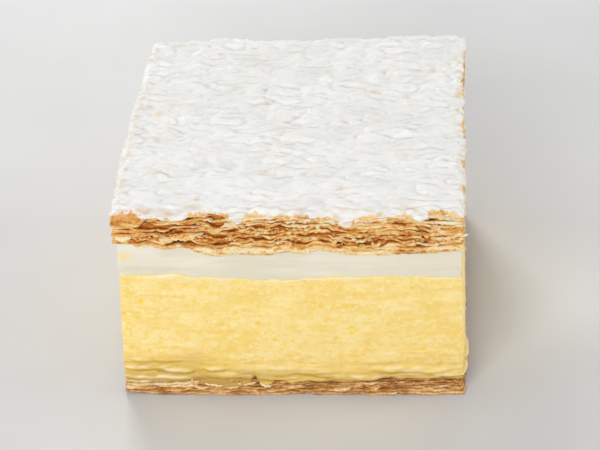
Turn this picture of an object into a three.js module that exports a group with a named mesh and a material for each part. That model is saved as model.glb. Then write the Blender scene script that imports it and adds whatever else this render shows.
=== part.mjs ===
// Custard and cream slice in puff pastry, cut square from a tray bake.
// Four layers lie on each other, each its own closed solid:
//   bottom_pastry  thin, moist, pressed puff pastry that the slice rests on
//   custard        thick set vanilla custard, slightly slumped over its base
//   cream          whipped cream, set back a little under the pastry lid
//   top_pastry     flaky puff pastry lid, with its dusted sugar skin
// Millimetres, +Z up, +Y away from the front cut face. The origin is the centre
// of the slice's footprint, on the face it rests on.

import * as THREE from 'three';

// ---- driving dimensions -------------------------------------------------
const WIDTH = 78;            // along X, at the widest, across the lid
const DEPTH = 77.6;          // along Y, at the deepest, across the lid
const HEIGHT = 50;           // resting face to the top of the dusted lid

const BASE_TOP = 3.8;        // mean height of the top of the bottom pastry
const CUSTARD_TOP = 31.9;    // mean height of the top of the custard
const CREAM_TOP = 39.4;      // mean height of the top of the cream
const GAP = 0.3;             // clearance between touching layers

const TAPER_BACK_LEFT = 1.3; // the left cut runs in by this much at the back
const TAPER_BACK_RIGHT = 0.7;
const SLANT_BACK = 0.9;      // the back cut is this much nearer at its left end
const CORNER = 0.3;          // how far a corner is rubbed off

const CREAM_INSET = 0.95;    // cream stands back under the lid
const CUSTARD_INSET = 0.6;   // custard's shoulder, under the cream
const CUSTARD_SLUMP = 0.15;  // custard's belly, out over the base
const BASE_INSET = 0.15;     // bottom pastry stands back under the custard
const LEAF = 1.55;           // pitch of the lid's leaves seen at a cut
const LEAF_DEPTH = 0.42;     // how far leaf edges stand out of the grooves

const GRID = 14;             // cells along each side of a layer's faces

// ---- surfaces between the layers -----------------------------------------
const wave = (x, y, lx, ly, phase) => Math.sin((2 * Math.PI * x) / lx + (2 * Math.PI * y) / ly + phase);

const baseTop = (x, y) => BASE_TOP
  + 0.34 * wave(x, y, 61, 83, 0.4)
  + 0.22 * wave(x, y, 27, -39, 1.9);

const custardTop = (x, y) => CUSTARD_TOP
  + 0.37 * wave(x, y, 50, 96, 1.46)
  + 0.14 * wave(x, y, 31, 44, 0.38);

const creamTop = (x, y) => CREAM_TOP
  + 1.25 * Math.cos((2 * Math.PI * (x + 41)) / 90 + 0.5 * Math.sin(y / 17))
  + 0.2 * wave(x, y, 25, 37, 1.1)
  + 0.13 * wave(x, y, -14, 29, 0.2);

const lidTop = (x, y) => HEIGHT - 0.4
  + 0.17 * wave(x, y, 47, 66, 0.9)
  + 0.12 * wave(x, y, -23, 35, 2.6)
  + 0.085 * wave(x, y, 13, -19, 4.1);

// ---- plan of the slice -----------------------------------------------------
// (u, v) run from -1 to 1 over the footprint; u = -1 is the left cut, v = -1 the front cut.
function plan(u, v) {
  const back = (v + 1) / 2;
  const left = -WIDTH / 2 + TAPER_BACK_LEFT * Math.pow(back, 2.2);
  const right = WIDTH / 2 - TAPER_BACK_RIGHT * Math.pow(back, 1.6);
  const round = CORNER * Math.pow(Math.abs(u * v), 9);
  const x = left + ((right - left) * (u + 1)) / 2 - Math.sign(u) * round;
  const y = (v * DEPTH) / 2 - Math.sign(v) * round - (SLANT_BACK * back * (1 - u)) / 2;
  return [x, y];
}

function outward(u, v) {
  const px = Math.sign(u) * Math.pow(Math.abs(u), 14);
  const py = Math.sign(v) * Math.pow(Math.abs(v), 14);
  const l = Math.hypot(px, py) || 1;
  return [px / l, py / l];
}

// distance run round the footprint, for wobble that is continuous at the corners
function around(u, v) {
  const [x, y] = plan(u, v);
  return Math.atan2(y / DEPTH, x / WIDTH);
}

// ---- one layer as a closed solid --------------------------------------------
// low and high give its two faces, side(t, a) how far its cut stands out of the
// footprint at height share t and bearing a, and rows how many bands its cut has.
function layer(name, low, high, side, rows, look) {
  const line = [];
  for (let i = 0; i <= GRID; i += 1) {
    const even = -1 + (2 * i) / GRID;
    line.push(0.55 * even - 0.45 * Math.cos((Math.PI * i) / GRID));
  }
  const points = [];
  const put = (x, y, z) => points.push(x, y, z) / 3 - 1;

  const face = (height, t) => {
    const ids = [];
    for (let j = 0; j <= GRID; j += 1) {
      for (let i = 0; i <= GRID; i += 1) {
        const u = line[i];
        const v = line[j];
        const [x, y] = plan(u, v);
        const [nx, ny] = outward(u, v);
        const edge = Math.pow(Math.max(Math.abs(u), Math.abs(v)), 8);
        const off = side(t, around(u, v)) * edge;
        ids.push(put(x + nx * off, y + ny * off, height(x, y)));
      }
    }
    return ids;
  };

  const bottom = face(low, 0);
  const top = face(high, 1);
  const at = (ids, i, j) => ids[j * (GRID + 1) + i];

  const rim = [];
  for (let i = 0; i < GRID; i += 1) rim.push([i, 0]);
  for (let j = 0; j < GRID; j += 1) rim.push([GRID, j]);
  for (let i = GRID; i > 0; i -= 1) rim.push([i, GRID]);
  for (let j = GRID; j > 0; j -= 1) rim.push([0, j]);

  const rings = [rim.map(([i, j]) => at(bottom, i, j))];
  for (let r = 1; r < rows; r += 1) {
    const t = r / rows;
    rings.push(rim.map(([i, j]) => {
      const u = line[i];
      const v = line[j];
      const [x, y] = plan(u, v);
      const [nx, ny] = outward(u, v);
      const off = side(t, around(u, v));
      const z = low(x, y) * (1 - t) + high(x, y) * t;
      return put(x + nx * off, y + ny * off, z);
    }));
  }
  rings.push(rim.map(([i, j]) => at(top, i, j)));

  const faces = [];
  for (let j = 0; j < GRID; j += 1) {
    for (let i = 0; i < GRID; i += 1) {
      const quad = (ids) => [at(ids, i, j), at(ids, i + 1, j), at(ids, i + 1, j + 1), at(ids, i, j + 1)];
      const [a, b, c, d] = quad(top);
      faces.push(a, b, c, a, c, d);
      const [e, f, g, h] = quad(bottom);
      faces.push(e, g, f, e, h, g);
    }
  }
  for (let r = 0; r < rows; r += 1) {
    for (let k = 0; k < rim.length; k += 1) {
      const n = (k + 1) % rim.length;
      const a = rings[r][k];
      const b = rings[r][n];
      const c = rings[r + 1][n];
      const d = rings[r + 1][k];
      faces.push(a, b, c, a, c, d);
    }
  }

  const geometry = new THREE.BufferGeometry();
  geometry.setAttribute('position', new THREE.Float32BufferAttribute(points, 3));
  geometry.setIndex(faces);
  geometry.computeVertexNormals();
  const mesh = new THREE.Mesh(geometry, new THREE.MeshStandardMaterial(look));
  mesh.name = name;
  return mesh;
}

// ---- cut faces of the layers --------------------------------------------------
const wobble = (a, k, phase) => Math.sin(k * a + phase);

const baseSide = (t, a) => -BASE_INSET + 0.15 * Math.sin(Math.PI * t)
  + 0.1 * wobble(a, 9, 0.7) + 0.08 * wobble(a, 17, 2.0);

const custardSide = (t, a) => {
  const belly = CUSTARD_SLUMP * Math.exp(-Math.pow((t - 0.13) / 0.13, 2));
  const shoulder = -CUSTARD_INSET * Math.pow(t, 0.7);
  return shoulder + belly + 0.12 * wobble(a, 7, 1.3) * (1 - t) + 0.08 * wobble(a, 15, 0.4);
};

const creamSide = (t, a) => -CREAM_INSET + 0.25 * Math.sin(Math.PI * t)
  + 0.1 * wobble(a, 8, 2.4);

const lidSide = (t, a) => {
  const leaves = (HEIGHT - CREAM_TOP) / LEAF;
  const z = t * leaves + 0.5 * wobble(a, 6, 0.8) + 0.3 * wobble(a, 13, 2.9);
  const brow = -0.9 * Math.pow(t, 10);
  return brow - LEAF_DEPTH * (0.5 - 0.5 * Math.cos(2 * Math.PI * z)) + 0.1 * wobble(a, 19, 0.1);
};

const slice = new THREE.Group();
slice.name = 'custard_slice';
slice.add(
  layer('bottom_pastry', () => 0, (x, y) => baseTop(x, y) - GAP / 2, baseSide, 3,
    { color: 0xbf8f5a, roughness: 0.75, metalness: 0 }),
  layer('custard', (x, y) => baseTop(x, y) + GAP / 2, (x, y) => custardTop(x, y) - GAP / 2, custardSide, 8,
    { color: 0xf9dc8b, roughness: 0.5, metalness: 0 }),
  layer('cream', (x, y) => custardTop(x, y) + GAP / 2, (x, y) => creamTop(x, y) - GAP / 2, creamSide, 3,
    { color: 0xe6dfca, roughness: 0.5, metalness: 0 }),
  layer('top_pastry', (x, y) => creamTop(x, y) + GAP / 2, lidTop, lidSide, 11,
    { color: 0xd8a768, roughness: 0.7, metalness: 0 }),
);

// ---- centre the footprint on the origin, at the stated width and depth ---------
const box = new THREE.Box3().setFromObject(slice);
const fitX = WIDTH / (box.max.x - box.min.x);
const fitY = DEPTH / (box.max.y - box.min.y);
const midX = (box.max.x + box.min.x) / 2;
const midY = (box.max.y + box.min.y) / 2;
const fitZ = HEIGHT / (box.max.z - box.min.z);
for (const mesh of slice.children) {
  const p = mesh.geometry.attributes.position;
  for (let i = 0; i < p.count; i += 1) {
    p.setXYZ(i, (p.getX(i) - midX) * fitX, (p.getY(i) - midY) * fitY, p.getZ(i) * fitZ);
  }
  mesh.geometry.computeVertexNormals();
}

export default slice;
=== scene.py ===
"""Looks of the custard and cream slice: every layer is modelled again as a fine mesh where its CAD solid is.

Lengths are worked out in millimetres and turned into metres when a mesh is made. The front cut is at -Y, and
while the shapes are worked out it is at y = -38; each mesh is then moved by SHIFT into the CAD's frame.
"""

import math

import bpy
import numpy as np
from mathutils import Matrix, Vector


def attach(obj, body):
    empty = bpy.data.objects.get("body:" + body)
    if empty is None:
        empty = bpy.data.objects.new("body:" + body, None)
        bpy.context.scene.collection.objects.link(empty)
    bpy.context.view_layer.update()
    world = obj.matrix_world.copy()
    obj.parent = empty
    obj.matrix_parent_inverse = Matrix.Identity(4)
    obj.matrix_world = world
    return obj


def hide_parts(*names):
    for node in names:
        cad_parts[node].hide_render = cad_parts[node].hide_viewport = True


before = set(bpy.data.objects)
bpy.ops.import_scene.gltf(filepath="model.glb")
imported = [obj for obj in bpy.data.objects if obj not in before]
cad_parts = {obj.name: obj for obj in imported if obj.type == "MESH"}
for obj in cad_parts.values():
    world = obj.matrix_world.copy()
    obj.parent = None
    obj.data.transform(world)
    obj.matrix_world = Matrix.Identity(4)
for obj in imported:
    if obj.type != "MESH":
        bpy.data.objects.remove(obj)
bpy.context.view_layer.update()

# ---- sizes, as in the CAD source, in millimetres ---------------------------------
WIDTH, HEIGHT = 78.0, 50.0
LONG = 77.6  # from the front cut to the back cut
DEPTH = 76.0  # the same, as it counts in a distance round the edge
SHIFT = 38.0 - LONG / 2
BASE_TOP, CUSTARD_TOP, CREAM_TOP = 3.8, 31.9, 39.4
TAPER_BACK_LEFT, TAPER_BACK_RIGHT, SLANT_BACK, CORNER = 1.3, 0.7, 0.9, 0.3
HALF = 38.5  # half the footprint, for turning a distance from its edge into a share
ROUND = 2 * (WIDTH + DEPTH)  # distance round the footprint

PHOTO_FRAMING = False  # True puts the slice where the photograph has it in its frame


# ---- noise --------------------------------------------------------------------------
def _table(seed):
    rng = np.random.default_rng(seed)
    perm = rng.permutation(256)
    grad = rng.normal(size=(256, 3))
    return perm, grad / np.linalg.norm(grad, axis=1)[:, None]


_tables = {}


def noise(x, y, z=0.0, seed=0):
    """Smooth gradient noise, about -1 to 1, with features one unit across."""
    if seed not in _tables:
        _tables[seed] = _table(seed)
    perm, grad = _tables[seed]
    x, y, z = np.broadcast_arrays(np.asarray(x, float), np.asarray(y, float), np.asarray(z, float))
    xi, yi, zi = (np.floor(c).astype(np.int64) for c in (x, y, z))
    xf, yf, zf = x - xi, y - yi, z - zi
    fade = [c * c * c * (c * (c * 6 - 15) + 10) for c in (xf, yf, zf)]
    out = 0.0
    for dx in (0, 1):
        px = perm[(xi + dx) & 255]
        wx = fade[0] if dx else 1 - fade[0]
        for dy in (0, 1):
            py = perm[(px + yi + dy) & 255]
            wy = fade[1] if dy else 1 - fade[1]
            for dz in (0, 1):
                g = grad[perm[(py + zi + dz) & 255]]
                wz = fade[2] if dz else 1 - fade[2]
                dot = g[..., 0] * (xf - dx) + g[..., 1] * (yf - dy) + g[..., 2] * (zf - dz)
                out = out + wx * wy * wz * dot
    return out * 1.6


def fbm(x, y, z=0.0, octaves=3, gain=0.5, seed=0):
    total, amp, f = 0.0, 1.0, 1.0
    for o in range(octaves):
        total = total + amp * noise(x * f, y * f, z * f, seed + 17 * o)
        amp *= gain
        f *= 2.03
    return total


def smooth(a, b, x):
    t = np.clip((x - a) / (b - a), 0, 1)
    return t * t * (3 - 2 * t)


# ---- surfaces between the layers, as in the CAD source --------------------------------
def wave(x, y, lx, ly, phase):
    return np.sin(2 * np.pi * x / lx + 2 * np.pi * y / ly + phase)


def base_top(x, y):
    return BASE_TOP + 0.34 * wave(x, y, 61, 83, 0.4) + 0.22 * wave(x, y, 27, -39, 1.9)


def custard_top(x, y):
    return CUSTARD_TOP + 0.37 * wave(x, y, 50, 96, 1.46) + 0.14 * wave(x, y, 31, 44, 0.38)


EDGE_X = [-35.4, -33.5, -31.5, -29.5, -27.6, -25.6, -23.6, -21.7, -19.7, -17.7, -15.8, -13.8, -9.9, -7.9, -5.9, -4.0, -2.0, 0.0, 2.0, 3.9, 5.9, 10.0]
EDGE_Z = [-0.1, -0.05, -0.15, 0.1, 0.45, 0.45, 0.1, -0.3, -0.05, 0.1, 0.1, -0.05, -0.05, -0.3, -0.3, 0.0, -0.5, -0.5, -0.3, 0.0, -0.2, 0.0]


def custard_edge(x, y):
    """Height of the border between custard and cream, as it shows at the cut."""
    return custard_top(x, y) + np.interp(x, EDGE_X, EDGE_Z) * smooth(-33.5, -37.2, y)


def cream_top(x, y):
    return (
        CREAM_TOP
        + 1.25 * np.cos(2 * np.pi * (x + 41) / 90 + 0.5 * np.sin(y / 17))
        + 0.2 * wave(x, y, 25, 37, 1.1)
        + 0.13 * wave(x, y, -14, 29, 0.2)
    )


def lid_top(x, y):
    return (
        HEIGHT
        - 0.4
        + 0.17 * wave(x, y, 47, 66, 0.9)
        + 0.12 * wave(x, y, -23, 35, 2.6)
        + 0.085 * wave(x, y, 13, -19, 4.1)
    )


def plan(u, v):
    back = np.clip((v + 1) / 2, 0, 1.1)
    left = -WIDTH / 2 + TAPER_BACK_LEFT * back**2.2
    right = WIDTH / 2 - TAPER_BACK_RIGHT * back**1.6
    cut = CORNER * np.abs(u * v) ** 9
    x = left + (right - left) * (u + 1) / 2 - np.sign(u) * cut
    y = (v + 1) / 2 * LONG - 38.0 - np.sign(v) * cut - SLANT_BACK * back * (1 - u) / 2
    return x, y


def round_from(u, v):
    """Distance round the edge of the footprint to the edge point (u, v), from the front left corner, anticlockwise."""
    front = (u + 1) * WIDTH / 2
    right = WIDTH + (v + 1) * DEPTH / 2
    back = WIDTH + DEPTH + (1 - u) * WIDTH / 2
    left = 2 * WIDTH + DEPTH + (1 - v) * DEPTH / 2
    return np.where(v <= -1 + 1e-9, front, np.where(u >= 1 - 1e-9, right, np.where(v >= 1 - 1e-9, back, left)))


def ring(n_w, n_d):
    """(u, v) of points evenly round the edge of the footprint, anticlockwise from the front left corner."""
    a = np.linspace(-1, 1, n_w, endpoint=False)
    b = np.linspace(-1, 1, n_d, endpoint=False)
    u = np.concatenate([a, np.ones(n_d), -a, -np.ones(n_d)])
    v = np.concatenate([-np.ones(n_w), b, np.ones(n_w), -b])
    return u, v


def at_round(s):
    """(u, v) of the edge point a distance s round the footprint."""
    s = s % ROUND
    if s < WIDTH:
        return s / WIDTH * 2 - 1, -1.0
    if s < WIDTH + DEPTH:
        return 1.0, (s - WIDTH) / DEPTH * 2 - 1
    if s < 2 * WIDTH + DEPTH:
        return 1 - (s - WIDTH - DEPTH) / WIDTH * 2, 1.0
    return -1.0, 1 - (s - 2 * WIDTH - DEPTH) / DEPTH * 2


def round_from_xy(x, y):
    """The same from a point on the edge, near enough for broad shapes."""
    return round_from(np.where(np.abs(x) * DEPTH >= np.abs(y) * WIDTH, np.sign(x), x * 2 / WIDTH), np.where(np.abs(x) * DEPTH < np.abs(y) * WIDTH, np.sign(y), y * 2 / DEPTH))


def apart(s, centre):
    return (s - centre + ROUND / 2) % ROUND - ROUND / 2


def bump_at(s, centre, half):
    """1 at centre, falling to 0 at a distance half either way."""
    return np.clip(1 - (apart(s, centre) / half) ** 2, 0, 1)


# ---- meshes --------------------------------------------------------------------------
def build(name, points, quads, tris=None, attrs=None, material=None, smooth_shade=True):
    """A mesh object from points in millimetres."""
    me = bpy.data.meshes.new(name)
    points = np.asarray(points, float) + (0.0, SHIFT, 0.0)
    quads = np.asarray(quads, np.int32).reshape(-1, 4)
    tris = np.zeros((0, 3), np.int32) if tris is None else np.asarray(tris, np.int32).reshape(-1, 3)
    me.vertices.add(len(points))
    me.vertices.foreach_set("co", (points * 0.001).astype(np.float32).ravel())
    loops = np.concatenate([quads.ravel(), tris.ravel()])
    me.loops.add(len(loops))
    me.loops.foreach_set("vertex_index", loops)
    starts = np.concatenate([np.arange(len(quads)) * 4, len(quads) * 4 + np.arange(len(tris)) * 3])
    me.polygons.add(len(starts))
    me.polygons.foreach_set("loop_start", starts.astype(np.int32))
    me.polygons.foreach_set("use_smooth", np.full(len(starts), smooth_shade))
    me.update(calc_edges=True)
    me.validate()
    for key, values in (attrs or {}).items():
        at = me.attributes.new(key, "FLOAT", "POINT")
        at.data.foreach_set("value", np.asarray(values, np.float32).ravel())
    ob = bpy.data.objects.new(name, me)
    bpy.context.scene.collection.objects.link(ob)
    if material:
        me.materials.append(material)
    return ob


def band(rows, n):
    """Quads between each row of n points and the next, rows closed into rings."""
    i = np.arange(n)
    j = (i + 1) % n
    r = np.arange(rows - 1)[:, None] * n
    return np.stack([r + i, r + j, r + n + j, r + n + i], -1).reshape(-1, 4)


def slab(name, u, v, k, z, low, high, material, attrs=None, inner=(0.975, 0.92, 0.8, 0.55, 0.25)):
    """A closed layer. k (rows, n) says how far out its cut stands, as a share of the footprint, and z its height, from the bottom row up. low and high are the heights of its two faces."""
    rows, n = k.shape
    x, y = plan(u * k, v * k)
    pts = [np.stack([x, y, z], -1).reshape(-1, 3)]
    quads = [band(rows, n)]
    tris = []
    count = rows * n
    values = {key: [np.broadcast_to(val, (rows, n)).ravel()] for key, val in (attrs or {}).items()}
    for top, height in ((True, high), (False, low)):
        edge_k = k[-1] if top else k[0]
        edge_z = z[-1] if top else z[0]
        ex, ey = plan(u * edge_k, v * edge_k)
        gap = edge_z - height(ex, ey)
        last = (rows - 1) * n + np.arange(n) if top else np.arange(n)
        for m in inner:
            xx, yy = plan(u * edge_k * m, v * edge_k * m)
            zz = np.maximum(height(xx, yy) + gap * smooth(0.9, 1.0, np.full(n, m)), 0)
            pts.append(np.stack([xx, yy, zz], -1))
            ids = count + np.arange(n)
            a, b = (last, ids) if top else (ids, last)
            quads.append(np.stack([a, np.roll(a, -1), np.roll(b, -1), b], -1))
            last = ids
            count += n
            for key in values:
                values[key].append(np.full(n, values[key][0].reshape(rows, n)[-1 if top else 0].mean()))
        cx, cy = plan(np.zeros(1), np.zeros(1))
        pts.append(np.stack([cx, cy, height(cx, cy) + np.zeros(1)], -1))
        c = np.full(n, count)
        tris.append(np.stack([last, np.roll(last, -1), c], -1) if top else np.stack([np.roll(last, -1), last, c], -1))
        count += 1
        for key in values:
            values[key].append(np.zeros(1))
    return build(name, np.concatenate(pts), np.concatenate(quads), np.concatenate(tris), {key: np.concatenate(val) for key, val in values.items()}, material)


# ---- materials -------------------------------------------------------------------------
class Nodes:
    """Short calls for a material's node tree."""

    def __init__(self, name):
        self.mat = bpy.data.materials.new(name)
        self.mat.use_nodes = True
        self.tree = self.mat.node_tree
        self.tree.nodes.clear()
        self.out = self.tree.nodes.new("ShaderNodeOutputMaterial")
        self.bsdf = self.tree.nodes.new("ShaderNodeBsdfPrincipled")
        self.tree.links.new(self.bsdf.outputs[0], self.out.inputs[0])
        self.coord = self.tree.nodes.new("ShaderNodeTexCoord").outputs["Object"]

    def add(self, kind, **props):
        node = self.tree.nodes.new(kind)
        for key, value in props.items():
            setattr(node, key, value)
        return node

    def set(self, socket, value):
        if isinstance(value, bpy.types.NodeSocket):
            self.tree.links.new(value, socket)
        else:
            socket.default_value = value
        return self

    def stretch(self, x, y, z):
        node = self.add("ShaderNodeMapping")
        self.set(node.inputs["Vector"], self.coord)
        node.inputs["Scale"].default_value = (x, y, z)
        return node.outputs[0]

    def noise(self, scale, detail=3.0, rough=0.55, distort=0.0, vector=None):
        node = self.add("ShaderNodeTexNoise")
        self.set(node.inputs["Vector"], vector or self.coord)
        node.inputs["Scale"].default_value = scale
        node.inputs["Detail"].default_value = detail
        node.inputs["Roughness"].default_value = rough
        node.inputs["Distortion"].default_value = distort
        return node.outputs["Fac"]

    def cells(self, scale, feature="F1", vector=None, random=1.0):
        node = self.add("ShaderNodeTexVoronoi", feature=feature)
        self.set(node.inputs["Vector"], vector or self.coord)
        node.inputs["Scale"].default_value = scale
        node.inputs["Randomness"].default_value = random
        return node.outputs["Distance"]

    def ramp(self, value, stops):
        node = self.add("ShaderNodeValToRGB")
        elements = node.color_ramp.elements
        while len(elements) > 1:
            elements.remove(elements[-1])
        elements[0].position, elements[0].color = stops[0][0], (*stops[0][1], 1)
        for position, colour in stops[1:]:
            elements.new(position).color = (*colour, 1)
        self.set(node.inputs[0], value)
        return node.outputs[0]

    def span(self, value, a, b, low=0.0, high=1.0):
        node = self.add("ShaderNodeMapRange", interpolation_type="SMOOTHSTEP")
        self.set(node.inputs[0], value)
        for i, number in enumerate((a, b, low, high)):
            node.inputs[i + 1].default_value = number
        return node.outputs[0]

    def mix(self, factor, a, b, blend="MIX"):
        node = self.add("ShaderNodeMix", data_type="RGBA", blend_type=blend)
        node.clamp_result = False
        self.set(node.inputs[0], factor)
        for i, value in ((6, a), (7, b)):
            self.set(node.inputs[i], (*value, 1) if isinstance(value, tuple) else value)
        return node.outputs[2]

    def maths(self, operation, a, b=0.0, clamp=False):
        node = self.add("ShaderNodeMath", operation=operation, use_clamp=clamp)
        self.set(node.inputs[0], a)
        self.set(node.inputs[1], b)
        return node.outputs[0]

    def attribute(self, name):
        return self.add("ShaderNodeAttribute", attribute_name=name).outputs["Fac"]

    def bump(self, height, distance, strength=1.0):
        node = self.add("ShaderNodeBump")
        node.inputs["Strength"].default_value = strength
        node.inputs["Distance"].default_value = distance
        self.set(node.inputs["Height"], height)
        return node.outputs[0]

    def finish(self, colour, rough, normal=None, sss=0.0, radius=(1, 1, 1), scale=0.001, specular=0.5):
        b = self.bsdf.inputs
        self.set(b["Base Color"], colour)
        self.set(b["Roughness"], rough)
        if normal is not None:
            self.set(b["Normal"], normal)
        b["Subsurface Weight"].default_value = sss
        b["Subsurface Radius"].default_value = radius
        b["Subsurface Scale"].default_value = scale
        b["Specular IOR Level"].default_value = specular
        return self.mat


def custard_material():
    n = Nodes("vanilla_custard")
    big = n.noise(90, 2.0)
    mid = n.noise(950, 3.0, 0.6, 0.3, n.stretch(0.8, 0.8, 1.15))
    fine = n.noise(2300, 2.0, 0.6)
    body = n.ramp(big, [(0.3, (0.93, 0.69, 0.215)), (0.55, (0.95, 0.72, 0.26)), (0.8, (0.965, 0.755, 0.315))])
    drag = n.noise(600, 3.0, 0.6, 0.1, n.stretch(0.13, 0.13, 1.0))
    body = n.mix(n.span(drag, 0.5, 0.72, 0.0, 0.6), body, (0.985, 0.81, 0.42))
    body = n.mix(n.span(drag, 0.5, 0.28, 0.0, 0.6), body, (0.905, 0.64, 0.18))
    blot = n.noise(300, 2.0, 0.5, 0.0, n.stretch(0.55, 0.55, 1.0))
    body = n.mix(n.span(blot, 0.5, 0.7, 0.0, 0.5), body, (0.985, 0.81, 0.41))
    body = n.mix(n.span(blot, 0.5, 0.3, 0.0, 0.5), body, (0.91, 0.645, 0.18))
    body = n.mix(n.span(mid, 0.5, 0.72, 0.0, 0.75), body, (0.985, 0.82, 0.44))
    body = n.mix(n.span(mid, 0.48, 0.3, 0.0, 0.75), body, (0.925, 0.64, 0.16))
    # fine pores and, fewer, larger ones: bumped in, with painted shade in them, a darker, deeper yellow
    pores = n.maths("MULTIPLY", n.span(n.cells(900), 0.24, 0.08), n.span(n.noise(260, 2.0), 0.5, 0.62))
    holes = n.maths("MULTIPLY", n.span(n.cells(420), 0.2, 0.02), n.span(n.noise(150, 2.0), 0.46, 0.56))
    open_ = n.maths("MAXIMUM", pores, holes)
    body = n.mix(n.maths("MULTIPLY", open_, 0.6), body, (0.90, 0.62, 0.10))
    # painted shade in the larger air holes: a darker, deeper yellow
    body = n.mix(n.attribute("pit_and_shade"), body, (0.92, 0.64, 0.05))
    # the custard is darker and more olive towards its foot; painted shade in the creases under its folds and along its
    # bottom, painted shadow where it meets the pastry, and painted highlights on the lips of its folds
    body = n.mix(n.attribute("foot"), body, (0.69, 0.46, 0.07))
    body = n.mix(n.attribute("peach"), body, (0.80, 0.50, 0.24))
    body = n.mix(n.attribute("crease_and_shade"), body, (0.50, 0.31, 0.012))
    # painted shadow under the custard where it overhangs the pastry
    body = n.mix(n.attribute("painted_foot_shadow"), body, (0.42, 0.22, 0.07))
    # painted highlight on the upper lips of the folds
    body = n.mix(n.attribute("painted_lip_highlight"), body, (0.97, 0.86, 0.58))
    body = n.mix(n.attribute("smear"), body, (0.86, 0.80, 0.64))
    height = n.maths("ADD", n.maths("MULTIPLY", fine, 0.35), n.maths("MULTIPLY", mid, 0.8))
    height = n.maths("SUBTRACT", height, n.maths("MULTIPLY", open_, 0.35))
    rough = n.span(mid, 0.3, 0.7, 0.42, 0.58)
    return n.finish(body, rough, n.bump(height, 0.0003, 0.6), 0.3, (1.0, 0.62, 0.22), 0.0006, 0.42)


def cream_material():
    n = Nodes("whipped_cream")
    drag = n.noise(120, 3.0, 0.6, 0.2, n.stretch(0.35, 0.35, 3.2))
    soft = n.noise(60, 2.0)
    body = n.ramp(soft, [(0.3, (0.735, 0.685, 0.545)), (0.55, (0.775, 0.725, 0.59)), (0.8, (0.81, 0.77, 0.655))])
    body = n.mix(n.span(drag, 0.45, 0.7, 0.0, 0.35), body, (0.87, 0.83, 0.72))
    smear = n.span(n.noise(150, 2.0, 0.5, 0.4), 0.66, 0.8, 0.0, 0.3)
    body = n.mix(smear, body, (0.88, 0.72, 0.40))
    # pale: a painted pool of light at the front left under the lid, and random paler patches
    body = n.mix(n.attribute("pale"), body, (0.88, 0.85, 0.75))
    body = n.mix(n.attribute("smear"), body, (0.92, 0.70, 0.27))
    fine = n.noise(1500, 2.0)
    height = n.maths("ADD", n.maths("MULTIPLY", drag, 1.0), n.maths("MULTIPLY", fine, 0.18))
    return n.finish(body, 0.5, n.bump(height, 0.0003, 0.5), 0.35, (1.0, 0.85, 0.65), 0.0008, 0.4)


BAKED = [
    (0.0, (0.40, 0.105, 0.010)),
    (0.22, (0.58, 0.22, 0.038)),
    (0.45, (0.76, 0.395, 0.105)),
    (0.66, (0.845, 0.555, 0.21)),
    (0.85, (0.87, 0.68, 0.365)),
    (1.0, (0.895, 0.76, 0.50)),
]


def pastry_colour(n, tone, depth):
    """Baked colour from tone, 0 browned to 1 pale, and depth, 0 at the cut to 1 well inside a gap, which turns it deep
    red-brown: partly a deeper bake, partly painted shade.
    """
    crumb = n.noise(1500, 3.0, 0.65)
    patch = n.noise(360, 3.0, 0.6, 0.2, n.stretch(0.55, 0.55, 2.4))
    tone = n.maths("ADD", tone, n.span(patch, 0.3, 0.7, -0.24, 0.24))
    tone = n.maths("ADD", tone, n.span(crumb, 0.32, 0.68, -0.13, 0.13), True)
    return n.mix(depth, n.ramp(tone, BAKED), (0.34, 0.072, 0.004)), crumb


def pastry_material():
    n = Nodes("flaky_pastry")
    # depth: darker, redder further into the gaps between the leaves, partly deeper bake, partly painted shade
    depth = n.span(n.attribute("depth"), 0.0, 0.8, 0.0, 0.95)
    body, crumb = pastry_colour(n, n.attribute("tone"), depth)
    dust = n.maths("MULTIPLY", n.attribute("dust"), n.span(n.noise(700, 3.0, 0.7), 0.42, 0.56))
    body = n.mix(dust, body, (0.90, 0.85, 0.76))
    streak = n.noise(500, 2.0, 0.6, 0.3, n.stretch(0.5, 0.5, 4.0))
    height = n.maths("ADD", n.maths("MULTIPLY", crumb, 0.6), streak)
    return n.finish(body, 0.58, n.bump(height, 0.00032, 0.9), 0.15, (1.0, 0.5, 0.2), 0.0006, 0.3)


def core_material():
    n = Nodes("pastry_inside")
    # dark red-brown that shows deep in the gaps between the leaves: partly a deeper bake, partly painted shade
    body = n.ramp(
        n.noise(600, 3.0, 0.6, 0.0, n.stretch(0.6, 0.6, 3.0)),
        [(0.3, (0.42, 0.12, 0.016)), (0.55, (0.60, 0.22, 0.038)), (0.75, (0.78, 0.38, 0.10))],
    )
    return n.finish(body, 0.8, n.bump(n.noise(1200, 3.0), 0.0003, 0.8), 0.0, specular=0.2)


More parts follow.
